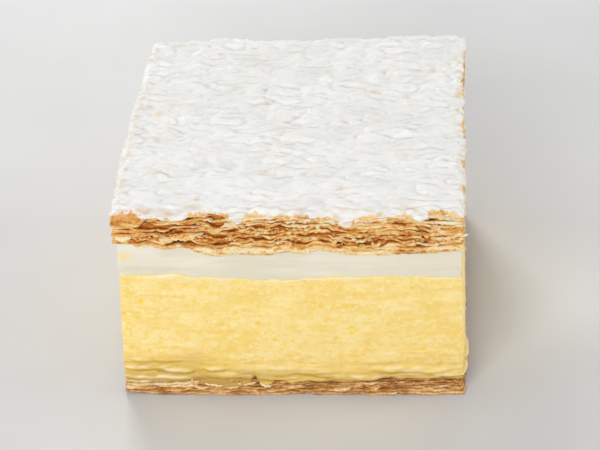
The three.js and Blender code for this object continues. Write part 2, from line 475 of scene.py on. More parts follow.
def crust_material():
    """The lid's upper leaf and the sugar on it: the attribute sugar says how thickly it is covered."""
    n = Nodes("sugared_crust")
    depth = n.span(n.attribute("depth"), 0.05, 0.9, 0.0, 0.9)
    bare, crumb = pastry_colour(n, n.attribute("tone"), depth)
    grain = n.noise(2400, 3.0, 0.7)
    powder = n.noise(5200, 2.0, 0.7)
    clump = n.noise(760, 3.0, 0.6, 0.0, n.stretch(0.5, 1.0, 1.0))
    broad = n.noise(190, 2.0, 0.5, 0.0, n.stretch(0.4, 1.0, 1.0))
    white = n.ramp(broad, [(0.3, (0.846, 0.843, 0.817)), (0.5, (0.888, 0.886, 0.864)), (0.7, (0.925, 0.925, 0.908))])
    white = n.mix(n.span(clump, 0.5, 0.72, 0.0, 0.4), white, (0.75, 0.74, 0.71))
    white = n.mix(n.span(powder, 0.4, 0.66, 0.0, 0.3), white, (0.72, 0.715, 0.69))
    white = n.mix(n.attribute("tan"), white, (0.72, 0.53, 0.33))
    cover = n.maths("ADD", n.attribute("sugar"), n.span(grain, 0.25, 0.75, -0.3, 0.3))
    cover = n.maths("ADD", cover, n.span(clump, 0.3, 0.7, -0.14, 0.14))
    cover = n.span(cover, 0.22, 0.72)
    body = n.mix(cover, bare, white)
    height = n.maths("ADD", n.maths("MULTIPLY", grain, 0.7), n.maths("MULTIPLY", clump, 1.0))
    height = n.maths("ADD", height, n.maths("MULTIPLY", powder, 0.35))
    rough = n.span(n.attribute("sugar"), 0.2, 0.7, 0.52, 0.88)
    return n.finish(body, rough, n.bump(height, 0.00032, 0.5), 0.15, (1.0, 0.9, 0.8), 0.0005, 0.35)


def base_material():
    n = Nodes("pressed_pastry")
    depth = n.span(n.attribute("depth"), 0.1, 0.9, 0.0, 0.7)
    crumb = n.noise(1300, 3.0, 0.65)
    leafy = n.noise(520, 3.0, 0.6, 0.4, n.stretch(0.5, 0.5, 3.0))
    tone = n.maths("ADD", n.attribute("tone"), n.span(leafy, 0.3, 0.7, -0.2, 0.2))
    tone = n.maths("ADD", tone, n.span(crumb, 0.3, 0.7, -0.16, 0.16), True)
    body = n.ramp(
        tone,
        [
            (0.0, (0.25, 0.085, 0.015)),
            (0.25, (0.43, 0.185, 0.038)),
            (0.5, (0.62, 0.32, 0.092)),
            (0.75, (0.80, 0.50, 0.20)),
            (1.0, (0.92, 0.72, 0.42)),
        ],
    )
    # depth: darker, redder where a leaf is set back and between the leaves, partly deeper bake, partly painted shade
    body = n.mix(depth, body, (0.32, 0.11, 0.022))
    height = n.maths("ADD", n.maths("MULTIPLY", crumb, 0.5), leafy)
    return n.finish(body, 0.45, n.bump(height, 0.0003, 0.8), 0.2, (1.0, 0.55, 0.25), 0.0007, 0.5)


CUSTARD, CREAM, PASTRY, CORE, CRUST, BASE = (
    custard_material(),
    cream_material(),
    pastry_material(),
    core_material(),
    crust_material(),
    base_material(),
)


def foot_line(x0, y0, s):
    """How far the foot of the slice stands out, custard and bottom pastry alike."""
    return 0.42 * bump_at(s, 16, 26) + 0.2 * noise(x0 / 7, y0 / 7, 0, 190)


# places where the custard's foot hangs down over the pastry: distance round, half width, how far
DRIPS = [(32.4, 2.2, 1.3), (38.5, 6.0, 0.7), (43.0, 5.0, 0.35), (7.0, 15.0, 1.0), (23.3, 6.6, 1.9)]
# and where it stands back from it, leaving a cavity
HOLLOWS = [(29.6, 2.2, 1.2)]
_rng = np.random.default_rng(31)
_place = 53.0
while _place < ROUND - 3:
    DRIPS.append((_place, _rng.uniform(3.0, 7.0), _rng.uniform(0.2, 0.8)))
    HOLLOWS.append((_place + _rng.uniform(4, 8), _rng.uniform(2.0, 5.0), _rng.uniform(0.4, 1.3)))
    _place += _rng.uniform(12, 22)


def most(s, places):
    out = np.zeros(np.shape(s))
    for centre, half, amount in places:
        out = np.maximum(out, amount * bump_at(s, centre, half) ** 0.8)
    return out


# ---- bottom pastry -----------------------------------------------------------------------
BASE_LEAVES = 6


def make_base():
    """Thin leaves pressed and soaked together, each with its own edge and bake."""
    u, v = ring(252, 246)
    n = len(u)
    x0, y0 = plan(u, v)
    s = round_from(u, v)
    lift = 0.7 * bump_at(s, 0, 6) ** 1.5 + 0.2 * np.clip(noise(x0 / 9, y0 / 9, 0, 14), 0, 1) * smooth(30, 50, s)
    room = base_top(x0, y0) + 0.14 - lift
    shares = np.stack([1 + 0.5 * noise(x0 / 7, y0 / 7, 6.3 * j, 3) + 0.3 * noise(x0 / 2.2, y0 / 2.2, 6.3 * j, 4) for j in range(BASE_LEAVES)])
    shares = np.clip(shares, 0.3, None)
    gaps = np.zeros((BASE_LEAVES, n))
    rng = np.random.default_rng(41)
    for j in range(BASE_LEAVES - 1):
        place = rng.uniform(0, 6)
        while place < ROUND:
            half = rng.uniform(1.0, 5.5)
            lens = bump_at(s, place, half) ** 0.8
            gaps[j] = np.maximum(gaps[j], rng.uniform(0.1, 0.42) * lens * (1 + 0.4 * noise(x0 / 1.4, y0 / 1.4, place, 5)))
            place += half + rng.uniform(1.0, 9.0)
    gaps *= np.minimum(1, 0.33 * room / np.maximum(gaps.sum(0), 1e-6))
    thick = shares / shares.sum(0) * (room - gaps.sum(0))
    under = lift + np.cumsum(thick + gaps, 0) - (thick + gaps)
    out0 = foot_line(x0, y0, s)
    turn = np.radians(np.linspace(-90, 90, 8))[:, None]
    flat = np.array([0.0, 0.5, 0.85])[:, None]
    pts, quads, tones, depths, count = [], [], [], [], 0
    for j in range(BASE_LEAVES):
        th = np.maximum(thick[j], 0.1)
        z0 = under[j]
        if j:
            z0 = z0 + 0.13 * noise(x0 / 5, y0 / 5, 4.3 * j, 61) + 0.07 * noise(x0 / 1.7, y0 / 1.7, 4.3 * j, 62)
            z0 = np.maximum(z0, 0.12)
        e = -0.4 + 0.3 * noise(x0 / 8, y0 / 8, 1.3 * j, 63) + 0.3 * noise(x0 / 2.6, y0 / 2.6, 1.7 * j, 64)
        e = e + 0.16 * noise(x0 / 1.1, y0 / 1.1, 2.1 * j, 65) + 0.09 * noise(x0 / 0.6, y0 / 0.6, 0.9 * j, 66)
        e = e - 1.5 * np.clip(noise(x0 / 4.5, y0 / 4.5, 3.3 * j, 67) - 0.28, 0, 1) - 1.2 * np.clip(noise(x0 / 1.9, y0 / 1.9, 3.3 * j, 68) - 0.34, 0, 1)
        e = np.clip(e + out0 + (0.65 if j == 0 else 0.35 if j == 1 else 0.0), -1.9, 0.6)
        if j == BASE_LEAVES - 1:
            e = e + 0.4 * bump_at(s, 5, 9)
        nose = np.minimum(0.32, 0.6 * th)
        face = z0 + th / 2 + th / 2 * np.sign(np.sin(turn)) * np.abs(np.sin(turn)) ** 0.75
        ragged = 0.1 * noise(x0 / 0.8, y0 / 0.8, face / 0.4, 69) + 0.1 * noise(x0 / 2.2, y0 / 2.2, face / 0.5, 70)
        split = np.exp(-((noise(x0 / 6, y0 / 6, face / 0.55, 71) / 0.1) ** 2)) * smooth(0.45, 0.85, th)
        out = e - nose * (1 - np.cos(turn) ** 0.55) + (ragged - 0.2 * split) * np.cos(turn) ** 0.3
        face = face + 0.05 * noise(x0 / 1.2, y0 / 1.2, 4.0 * j, 72)
        k = 1 + out / HALF
        # besides random bake, each leaf's edge is painted paler on its upper side and darker underneath, as light from
        # above, and darker in its splits, as painted shade
        bake = 0.395 + 0.12 * rng.uniform(-1, 1) + 0.4 * noise(x0 / 9, y0 / 9, 0.9 * j, 73) + 0.26 * noise(x0 / 2.4, y0 / 2.4, face / 0.5, 74) - 0.3 * split + 0.16 * np.sin(turn)
        if j == BASE_LEAVES - 1:
            # paler at the left of the front, brown and moist under the custard further on
            bake = bake - 0.12 + 0.6 * bump_at(s, 5, 16)
        bake = bake - 0.14 * smooth(24, 30, s) * smooth(56, 48, s) * smooth(1.5, 2.6, face)
        bake = bake + 0.8 * smooth(1.3, 1.9, face) * smooth(20, 14, s)
        if j == BASE_LEAVES - 2:
            bake = bake + 0.35 * bump_at(s, 6, 16)
        # darker where a leaf's edge is set back: partly deeper bake, partly painted shade
        deep = np.clip((-(e - out0)[None, :] - 0.9) / 1.6, 0, 0.7) * np.ones_like(k)
        if j >= BASE_LEAVES - 2:
            # painted shade in the cavity under the custard
            deep = np.maximum(deep, 0.55 * bump_at(s, 29.6, 2.6))
        deep = deep * (1 - 0.7 * smooth(1.5, 2.0, face) * smooth(20, 14, s))
        if j == 0:
            def low(x, y):
                d = 0.1 * fbm(x / 5, y / 5, 0, 3, 0.55, 12) + 0.07 * noise(x / 1.8, y / 1.8, 0, 13)
                return np.clip(0.08 + d, 0, 0.3)

            inner = (0.985, 0.96, 0.92, 0.86, 0.78, 0.68, 0.55, 0.4, 0.2)
            attrs = {"tone": np.clip(bake, 0, 1), "depth": deep}
            ob = slab("bottom_pastry_underleaf", u, v, k, np.maximum(face, 0), low, lambda x, y: 0.6 + 0 * x, BASE, attrs, inner)
            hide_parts("bottom_pastry")
            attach(ob, "root")
            continue
        kin = 0.93 - 0.012 * (j % 3)
        k_flat = kin + (1 + (e - nose) / HALF - kin) * flat
        wavy = 0.05 * noise(x0 / 1.5, y0 / 1.5, 5.0 * j, 75) * flat
        K = np.concatenate([k_flat, k, k_flat[::-1]])
        Z = np.concatenate([z0 + wavy, face, (z0 + th + wavy)[::-1]])
        X, Y = plan(u * K, v * K)
        rows = len(X)
        pts.append(np.stack([X, Y, np.maximum(Z, 0)], -1).reshape(-1, 3))
        last, first = (rows - 1) * n + np.arange(n), np.arange(n)
        q = np.concatenate([band(rows, n), np.stack([last, np.roll(last, -1), np.roll(first, -1), first], -1)])
        quads.append(q + count)
        count += rows * n
        inside = np.clip(((1 + np.minimum(e, 0) / HALF - K) * HALF - 0.15) / 0.8, 0, 1)
        pad = np.repeat(bake[:1], len(flat), 0), bake, np.repeat(bake[-1:], len(flat), 0)
        tones.append(np.clip(np.concatenate(pad), 0, 1).ravel())
        depths.append(np.maximum(inside, deep[0]).ravel())
    ob = build("bottom_pastry_leaves", np.concatenate(pts), np.concatenate(quads), None, {"tone": np.concatenate(tones), "depth": np.concatenate(depths)}, BASE)
    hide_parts("bottom_pastry")
    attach(ob, "root")
    # what shows between the leaves, coloured dark: partly a deeper bake, partly painted shade
    u, v = ring(84, 82)
    x0, y0 = plan(u, v)
    t = np.linspace(0, 1, 8)[:, None]
    z = 0.4 + t * (base_top(x0, y0) - 0.45)
    k = 1 + (-1.3 + foot_line(x0, y0, round_from(u, v)) + 0.3 * noise(x0 / 2.5, y0 / 2.5, z / 0.7, 76)) / HALF
    ob = slab("bottom_pastry_inside", u, v, k, z, lambda x, y: 0.4 + 0 * x, lambda x, y: base_top(x, y) - 0.05, BASE, {"tone": np.full(k.shape, 0.2), "depth": np.full(k.shape, 0.8)})
    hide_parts("bottom_pastry")
    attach(ob, "root")


# ---- custard ------------------------------------------------------------------------------
# rolls pressed out along its foot: distance round, half length, height, half height, stand-out
ROLLS = [
    (4.6, 2.6, 9.7, 0.8, 0.3),
    (10.6, 3.4, 9.9, 0.7, 0.24),
    (3.8, 4.4, 7.7, 0.8, 0.85),
    (9.0, 2.4, 7.9, 0.6, 0.4),
    (11.8, 4.6, 6.9, 0.75, 0.72),
    (5.2, 5.2, 6.1, 0.4, 0.24),
    (7.5, 10.5, 5.0, 0.95, 0.7),
    (5.0, 6.0, 3.5, 0.45, 0.2),
    (15.5, 3.4, 4.9, 0.9, 0.3),
    (21.2, 2.4, 7.3, 0.75, 0.4),
    (24.0, 5.0, 5.6, 1.0, 0.28),
    (36.0, 11.0, 7.0, 1.7, 0.36),
    (33.0, 8.0, 4.9, 0.95, 0.3),
    (44.0, 6.0, 6.4, 1.2, 0.34),
]


def make_custard():
    u, v = ring(206, 200)
    x0, y0 = plan(u, v)
    s = round_from(u, v)
    drip = most(s, DRIPS) * (1 + 0.3 * noise(x0 / 1.3, y0 / 1.3, 0, 191)) + 0.25 * noise(x0 / 3, y0 / 3, 0, 192)
    hollow = most(s, HOLLOWS)
    zb, zt = base_top(x0, y0) - 0.1 - np.clip(drip, -0.3, 2.0), custard_edge(x0, y0)
    t = np.concatenate([np.linspace(0, 0.3, 42, endpoint=False), np.linspace(0.3, 1, 48)])[:, None]
    z = zb + t * (zt - zb)
    h = z - zb
    off = 0.05 - 0.52 * t**1.3 + foot_line(x0, y0, s) * smooth(0.8, 0.0, t)
    off = off + 0.16 * noise(x0 / 16, y0 / 16, z / 14, 21)
    off = off + 0.08 * fbm(x0 / 5, y0 / 5, z / 4, 2, 0.5, 22)
    off = off + 0.07 * noise(x0 / 2.1, y0 / 2.1, z / 1.6, 23) + 0.055 * noise(x0 / 1.0, y0 / 1.0, z / 0.9, 24)
    # soft horizontal drag of the knife
    off = off + 0.08 * noise(x0 / 16, y0 / 16, z / 1.15, 25) + 0.045 * noise(x0 / 7, y0 / 7, z / 0.62, 35)
    rolls = list(ROLLS)
    rng = np.random.default_rng(11)
    place = 51.0
    while place < ROUND - 6:
        rolls.append((place, rng.uniform(4, 11), rng.uniform(4.6, 8.6), rng.uniform(0.8, 1.6), rng.uniform(0.2, 0.62)))
        place += rng.uniform(3.5, 8.5)
    swell = np.zeros_like(off)
    painted_lip_highlight = np.zeros_like(off)
    crease_and_shade = np.zeros_like(off)
    for i, (centre, half, height, wide, out) in enumerate(rolls):
        share = bump_at(s, centre, half)
        mid = height + 0.35 * noise(x0 / 5, y0 / 5, i * 1.7, 26) + 0.12 * noise(x0 / 1.7, y0 / 1.7, i * 1.7, 27)
        w = wide * (0.35 + 0.65 * share**0.5)
        a = (z - mid) / w
        shape = np.sqrt(np.clip(1 - a**2, 0, 1)) * out * share**0.6
        shape = 1.45 * shape * (1 + 0.3 * noise(x0 / 2.5, y0 / 2.5, i * 2.3, 28))
        swell = np.maximum(swell, shape)
        # painted highlight on the upper half of each roll
        painted_lip_highlight = np.maximum(painted_lip_highlight, np.exp(-(((a - 0.45) / 0.4) ** 2)) * share * out / 0.7)
        # the crease under each roll: dented into the face, and darkened as painted shade
        crease_and_shade = np.maximum(crease_and_shade, np.exp(-(((z - mid + w + 0.22 * share) / 0.42) ** 2)) * share**0.6 * np.minimum(1, out / 0.45))
    corner = 1 - 0.6 * np.exp(-((np.minimum(np.minimum(s, ROUND - s), np.minimum(np.abs(s - WIDTH), np.minimum(np.abs(s - WIDTH - DEPTH), np.abs(s - 2 * WIDTH - DEPTH)))) / 1.8) ** 2))
    swell = swell * corner
    off = off + 0.05 * noise(x0 / 6, y0 / 6, z / 0.35, 37) * smooth(9.5, 7, h)
    off = off + swell - 0.5 * crease_and_shade * smooth(0.1, 0.4, h) - 0.28 * smooth(7.5, 1.5, h)
    off = off - (0.35 + hollow) * smooth(1.1 + hollow, 0.0, h) * smooth(0.9, 0.2, drip) + 0.25 * smooth(2.2, 0.4, h) * smooth(0.3, 1.0, drip)
    off = off - 0.5 * smooth(0.35, 0.0, h)
    # larger air holes, cut into the face; the same mask paints shade into them
    pit_and_shade = np.zeros_like(off)
    n = len(u)
    ds = ROUND / n
    heights = t[:, 0] * 28.8
    for _ in range(330):
        c, hz = rng.uniform(0, n), rng.uniform(4, 28)
        r = rng.choice([0.34, 0.42, 0.52, 0.66], p=[0.45, 0.33, 0.17, 0.05]) * rng.uniform(0.85, 1.15)
        wide = int(r * 1.8 / ds) + 2
        ii = np.arange(int(c) - wide, int(c) + wide + 1)
        jj = np.nonzero(np.abs(heights - hz) < r * 1.8)[0]
        if not len(jj):
            continue
        dist = np.hypot((ii[None, :] - c) * ds * rng.uniform(0.7, 1.1), heights[jj][:, None] - hz)
        hole = smooth(1.4, 0.1, dist / r)
        cell = np.ix_(jj, ii % n)
        pit_and_shade[cell] = np.maximum(pit_and_shade[cell], hole * min(1.0, r / 0.5))
    off = off - 0.24 * pit_and_shade
    # a rounded shoulder that dips into the cream
    off = np.clip(off, -2.2, 0.85)
    edge = off[-1]
    shoulder = [(0.12, -0.07), (0.24, -0.3), (0.3, -0.8)]
    off = np.concatenate([off] + [edge[None] + d for _, d in shoulder])
    z = np.concatenate([z] + [zt[None] + d for d, _ in shoulder])
    more = ((0, len(shoulder)), (0, 0))
    pit_and_shade, painted_lip_highlight, crease_and_shade, h = (np.pad(a, more, mode="edge") for a in (pit_and_shade, painted_lip_highlight, crease_and_shade, h))
    lumpy = 0.14 * noise(x0 / 4, y0 / 4, 0, 29) + 0.08 * noise(x0 / 1.5, y0 / 1.5, 0, 30)
    z = z + lumpy * smooth(27, 28.8, h)
    k = 1 + off / HALF
    foot = smooth(8.0, 1.0, h) * (0.5 + 0.35 * noise(x0 / 9, y0 / 9, z / 3, 31)) + 0.5 * bump_at(s, 7, 21) * smooth(9.6, 6.5, h)
    foot = foot + 0.28 * noise(x0 / 7, y0 / 7, z / 0.5, 38) * smooth(9.5, 7, h)
    smear = 0.6 * smooth(28.2, 28.9, h) * np.clip(noise(x0 / 4, y0 / 4, 0, 32) + 0.15, 0, 1)
    smear = smear + 0.6 * smooth(26.2, 28.4, h) * np.clip(noise(x0 / 5, y0 / 5, z / 1.2, 36) - 0.05, 0, 1) + 0.3 * bump_at(s, 38, 5) * smooth(27.2, 28.4, h)
    peach = np.zeros_like(off)
    peaches = [(16.0, 7.2, 1.8, 1.0, 0.55), (17.5, 8.6, 2.0, 0.8, 0.3), (6.0, 1.4, 5.0, 0.7, 0.5), (35.0, 5.4, 1.6, 0.6, 0.35), (23.0, 5.2, 2.2, 0.7, 0.35)]
    place = 52.0
    while place < ROUND - 3:
        peaches.append((place, rng.uniform(1.0, 8.5), rng.uniform(1.2, 4.5), rng.uniform(0.5, 1.0), rng.uniform(0.25, 0.55)))
        place += rng.uniform(7, 20)
    for centre, height, long, tall, strength in peaches:
        away = np.hypot(apart(s, centre) / long, (h - height) / tall) + 0.35 * noise(x0 / 1.5, y0 / 1.5, z / 0.8, 39)
        peach = np.maximum(peach, strength * smooth(1.2, 0.2, away))
    attrs = {
        "pit_and_shade": 0.95 * pit_and_shade,
        "foot": np.clip(foot + 0.1 * smooth(9, 5, h) + 0.07 * smooth(15, 8, h), 0, 0.85),
        # painted shade in the creases under the folds, along the bottom of the face and in its hollows
        "crease_and_shade": np.clip(1.0 * crease_and_shade + (0.35 + 0.5 * hollow) * smooth(0.9, 0.1, h) + 0.15 * bump_at(s, 24, 8) * smooth(3.2, 1.0, h), 0, 0.9),
        # painted shadow along the custard's bottom where it overhangs the pastry
        "painted_foot_shadow": np.clip(0.56 * bump_at(s, 24, 9) * smooth(4.0, 1.4, h) + 0.43 * bump_at(s, 8, 15) * smooth(3.4, 1.4, h) + 0.16 * smooth(40, 52, s) * smooth(2.6, 0.8, h), 0, 0.6),
        "painted_lip_highlight": np.clip(0.9 * painted_lip_highlight * smooth(0.35, 0.75, 0.6 + 0.5 * noise(x0 / 3, y0 / 3, z, 33)), 0, 0.8),
        "smear": np.clip(smear, 0, 0.6),
        "peach": peach,
    }
    ob = slab("custard_block", u, v, k, z, lambda x, y: base_top(x, y) - 0.05, lambda x, y: custard_top(x, y) + 0.3, CUSTARD, attrs)
    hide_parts("custard")
    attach(ob, "root")


# ---- lid: its underside, the stack of leaves and the crust above them ----------------------
FRONT_LOW_X = [-39.0, -35.0, -33.5, -31.5, -29.5, -27.6, -25.6, -23.6, -21.7, -19.7, -17.7, -15.8, -13.8, -11.8, -9.9, -7.9, -5.9, -4.0, -2.0, 0.0, 2.0, 3.9, 5.9, 9.0, 13.0, 20.0, 39.0]
FRONT_LOW_Z = [41.6, 41.0, 40.5, 41.5, 40.4, 39.8, 40.15, 40.3, 40.0, 38.9, 38.25, 38.05, 38.2, 38.6, 38.6, 38.5, 38.4, 38.2, 38.85, 39.3, 38.8, 38.5, 39.6, 39.2, 38.4, 38.2, 39.6]


def lid_low(x0, y0):
    """Height of the lid's lower edge above a point of the footprint's edge."""
    side = cream_top(x0, y0) + 0.45 * noise(x0 / 8, y0 / 8, 0, 171) + 0.3 * noise(x0 / 3, y0 / 3, 0, 172)
    front = np.interp(x0, FRONT_LOW_X, FRONT_LOW_Z) + 0.12 * noise(x0 / 2.2, 0, 0, 173)
    share = smooth(-33.5, -37.2, y0)
    return side + (front - side) * share


def back_out(x, y):
    """1 along the back of the lid, where its leaves stand out, 0 elsewhere."""
    return smooth(26, 37, y) * smooth(-39, -22, x)


def rim_out(x0, y0):
    """How far the crust stands out round the rim."""
    e = -0.15 + 0.45 * bump_at(round_from_xy(x0, y0), 0, 4) + 0.3 * noise(x0 / 11, y0 / 11, 0, 141) + 0.24 * noise(x0 / 3.1, y0 / 3.1, 0, 142) + 0.14 * noise(x0 / 1.1, y0 / 1.1, 0, 143)
    e = e + 0.5 * bump_at(round_from_xy(x0, y0), 286, 13) + (0.75 + 0.4 * x0 / 39) * back_out(x0, y0)
    e = e + (0.12 + 0.14 * back_out(x0, y0)) * noise(x0 / 0.9, y0 / 0.9, 0, 149) * smooth(-37, -34, y0)
    return np.clip(e - (2.0 - 1.4 * back_out(x0, y0)) * np.clip(noise(x0 / 5.5, y0 / 5.5, 0, 144) - 0.32, 0, 1), -2.4, 0.6 + 0.9 * back_out(x0, y0))


def lift(x, y):
    """How far the lid rises towards its back, most at the right."""
    return (0.4 + 0.15 * x / 39) * smooth(0, 38, y)


def rim_height(x0, y0):
    wobble = 0.26 * noise(x0 / 3.2, y0 / 3.2, 0, 145) + 0.14 * noise(x0 / 1.3, y0 / 1.3, 0, 146)
    wobble = wobble + (0.2 * noise(x0 / 1.5, y0 / 1.5, 0, 150) + 0.1 * noise(x0 / 0.7, y0 / 0.7, 0, 153)) * (smooth(-37, -34, y0) + 0.8 * back_out(x0, y0))
    return 2 * lid_top(x0, y0) - HEIGHT - 0.05 + wobble + lift(x0, y0) + 0.5 * smooth(15, 37, y0) + 0.35 * bump_at(round_from_xy(x0, y0), 23.2, 3.2)


# sugar tongues over the edge: distance round, half width, how far down; patches of bare crust the same, with how far in
TONGUES = [(8.4, 2.2, 0.4), (11.2, 1.7, 0.8), (14.6, 2.1, 1.5), (28.0, 1.8, 1.9), (45.0, 1.0, 0.7)]
BARES = [(2.5, 4.2, 1.5), (17.9, 2.2, 0.4), (23.2, 3.2, 0.3), (31.4, 2.6, 1.2), (35.8, 4.0, 0.4), (42.0, 3.0, 0.4)]
_rng = np.random.default_rng(19)
_place = 52.0
while _place < ROUND - 3:
    TONGUES.append((_place, _rng.uniform(1.1, 2.6), _rng.uniform(0.7, 2.6)))
    BARES.append((_place + _rng.uniform(4, 8), _rng.uniform(1.8, 4.6) * (0.5 if _place > 226 else 1.0), _rng.uniform(0.3, 1.3) * (0.2 if _place > 146 else 1.0)))
    _place += _rng.uniform(9, 19)


def crust_depth(x0, y0, s):
    """Thickness of the leaves baked together under the sugar, at the cut."""
    d = 1.25 + 0.75 * noise(x0 / 7, y0 / 7, 0, 147) + 0.35 * noise(x0 / 2.6, y0 / 2.6, 0, 148)
    block = np.clip(1.6 * bump_at(s, 3.2, 4.6), 0, 1)
    d = d + (3.1 - d) * block
    hollow = bump_at(s, 23.2, 3.4)
    d = d + (0.55 - d) * hollow
    for centre, half, down in TONGUES:
        share = bump_at(s, centre, half * 1.5)
        d = np.maximum(d, (down + 0.5) * share**0.5)
    return np.clip(d, 0.5, 3.5)


def stack_top(x0, y0):
    d = 1.15 + 0.35 * noise(x0 / 7, y0 / 7, 0, 147) + 0.2 * noise(x0 / 2.6, y0 / 2.6, 0, 148)
    return rim_height(x0, y0) - np.clip(d, 0.65, 1.9) + 0.12 - 0.5 * smooth(15, 37, y0) - 0.6 * bump_at(round_from_xy(x0, y0), 23.2, 3.2)


def sugar_line(x0, y0, s):
    """How far in from the rim the sugar starts, in millimetres; below 0 it runs down over the cut."""
    b = 0.1 + 0.5 * noise(x0 / 5, y0 / 5, 0, 131) + 0.35 * noise(x0 / 1.8, y0 / 1.8, 0, 132)
    b = b - 0.35 * smooth(60, 90, s) - 0.5 * smooth(226, 236, s)
    for centre, half, far in BARES:
        share = bump_at(s, centre, half)
        b = b + (far - b) * share * 0.85
    for centre, half, down in TONGUES:
        share = bump_at(s, centre, half)
        b = b + (-down - b) * share
    return b


LEAVES = 9
SHARES = (1.75, 0.95, 1.0, 0.9, 1.1, 0.85, 1.0, 0.9, 0.95)
N_W, N_D = 256, 248
# lens-shaped openings on the front: x, height, half length, opening
OPENINGS = [
    (-30.2, 46.2, 5.0, 1.5),
    (-28.6, 48.0, 2.3, 0.4),
    (-25.0, 44.6, 5.8, 0.85),
    (-17.4, 43.5, 4.4, 1.1),
    (-15.4, 42.3, 3.2, 0.6),
    (-22.6, 47.5, 2.6, 0.6),
    (-16.0, 48.6, 1.7, 0.7),
    (-15.4, 46.6, 2.7, 0.85),
    (-13.0, 44.5, 2.4, 1.0),
    (-24.0, 41.9, 4.8, 1.05),
    (-36.6, 42.8, 2.6, 0.45),
    (-7.4, 43.4, 5.2, 1.15),
    (-5.8, 45.9, 2.9, 1.15),
    (-2.8, 44.7, 2.2, 0.6),
    (-1.8, 47.4, 2.2, 0.6),
    (0.2, 46.2, 2.4, 0.6),
    (-1.5, 42.6, 2.2, 0.7),
    (4.2, 47.4, 2.4, 0.6),
    (4.5, 43.8, 3.8, 0.8),
]


# stretches of the lid's cut where the leaves have broken to crumbs: distance round, height, half length, half height
CRUMBLY = [(32.5, 44.9, 6.0, 1.5), (41.5, 45.6, 6.5, 2.8), (38.0, 42.2, 4.0, 1.2), (10.0, 43.6, 6.0, 1.0)]
_rng = np.random.default_rng(29)
_place = 56.0
while _place < ROUND - 6:
    CRUMBLY.append((_place, _rng.uniform(42.0, 46.5), _rng.uniform(4.0, 9.0), _rng.uniform(1.0, 2.6)))
    _place += _rng.uniform(10, 26)


def crumbly(s, z):
    out = 0.0
    for centre, height, half, tall in CRUMBLY:
        away = (apart(s, centre) / half) ** 2 + ((z - height) / tall) ** 2
        out = np.maximum(out, smooth(1.5, 0.5, away))
    return out


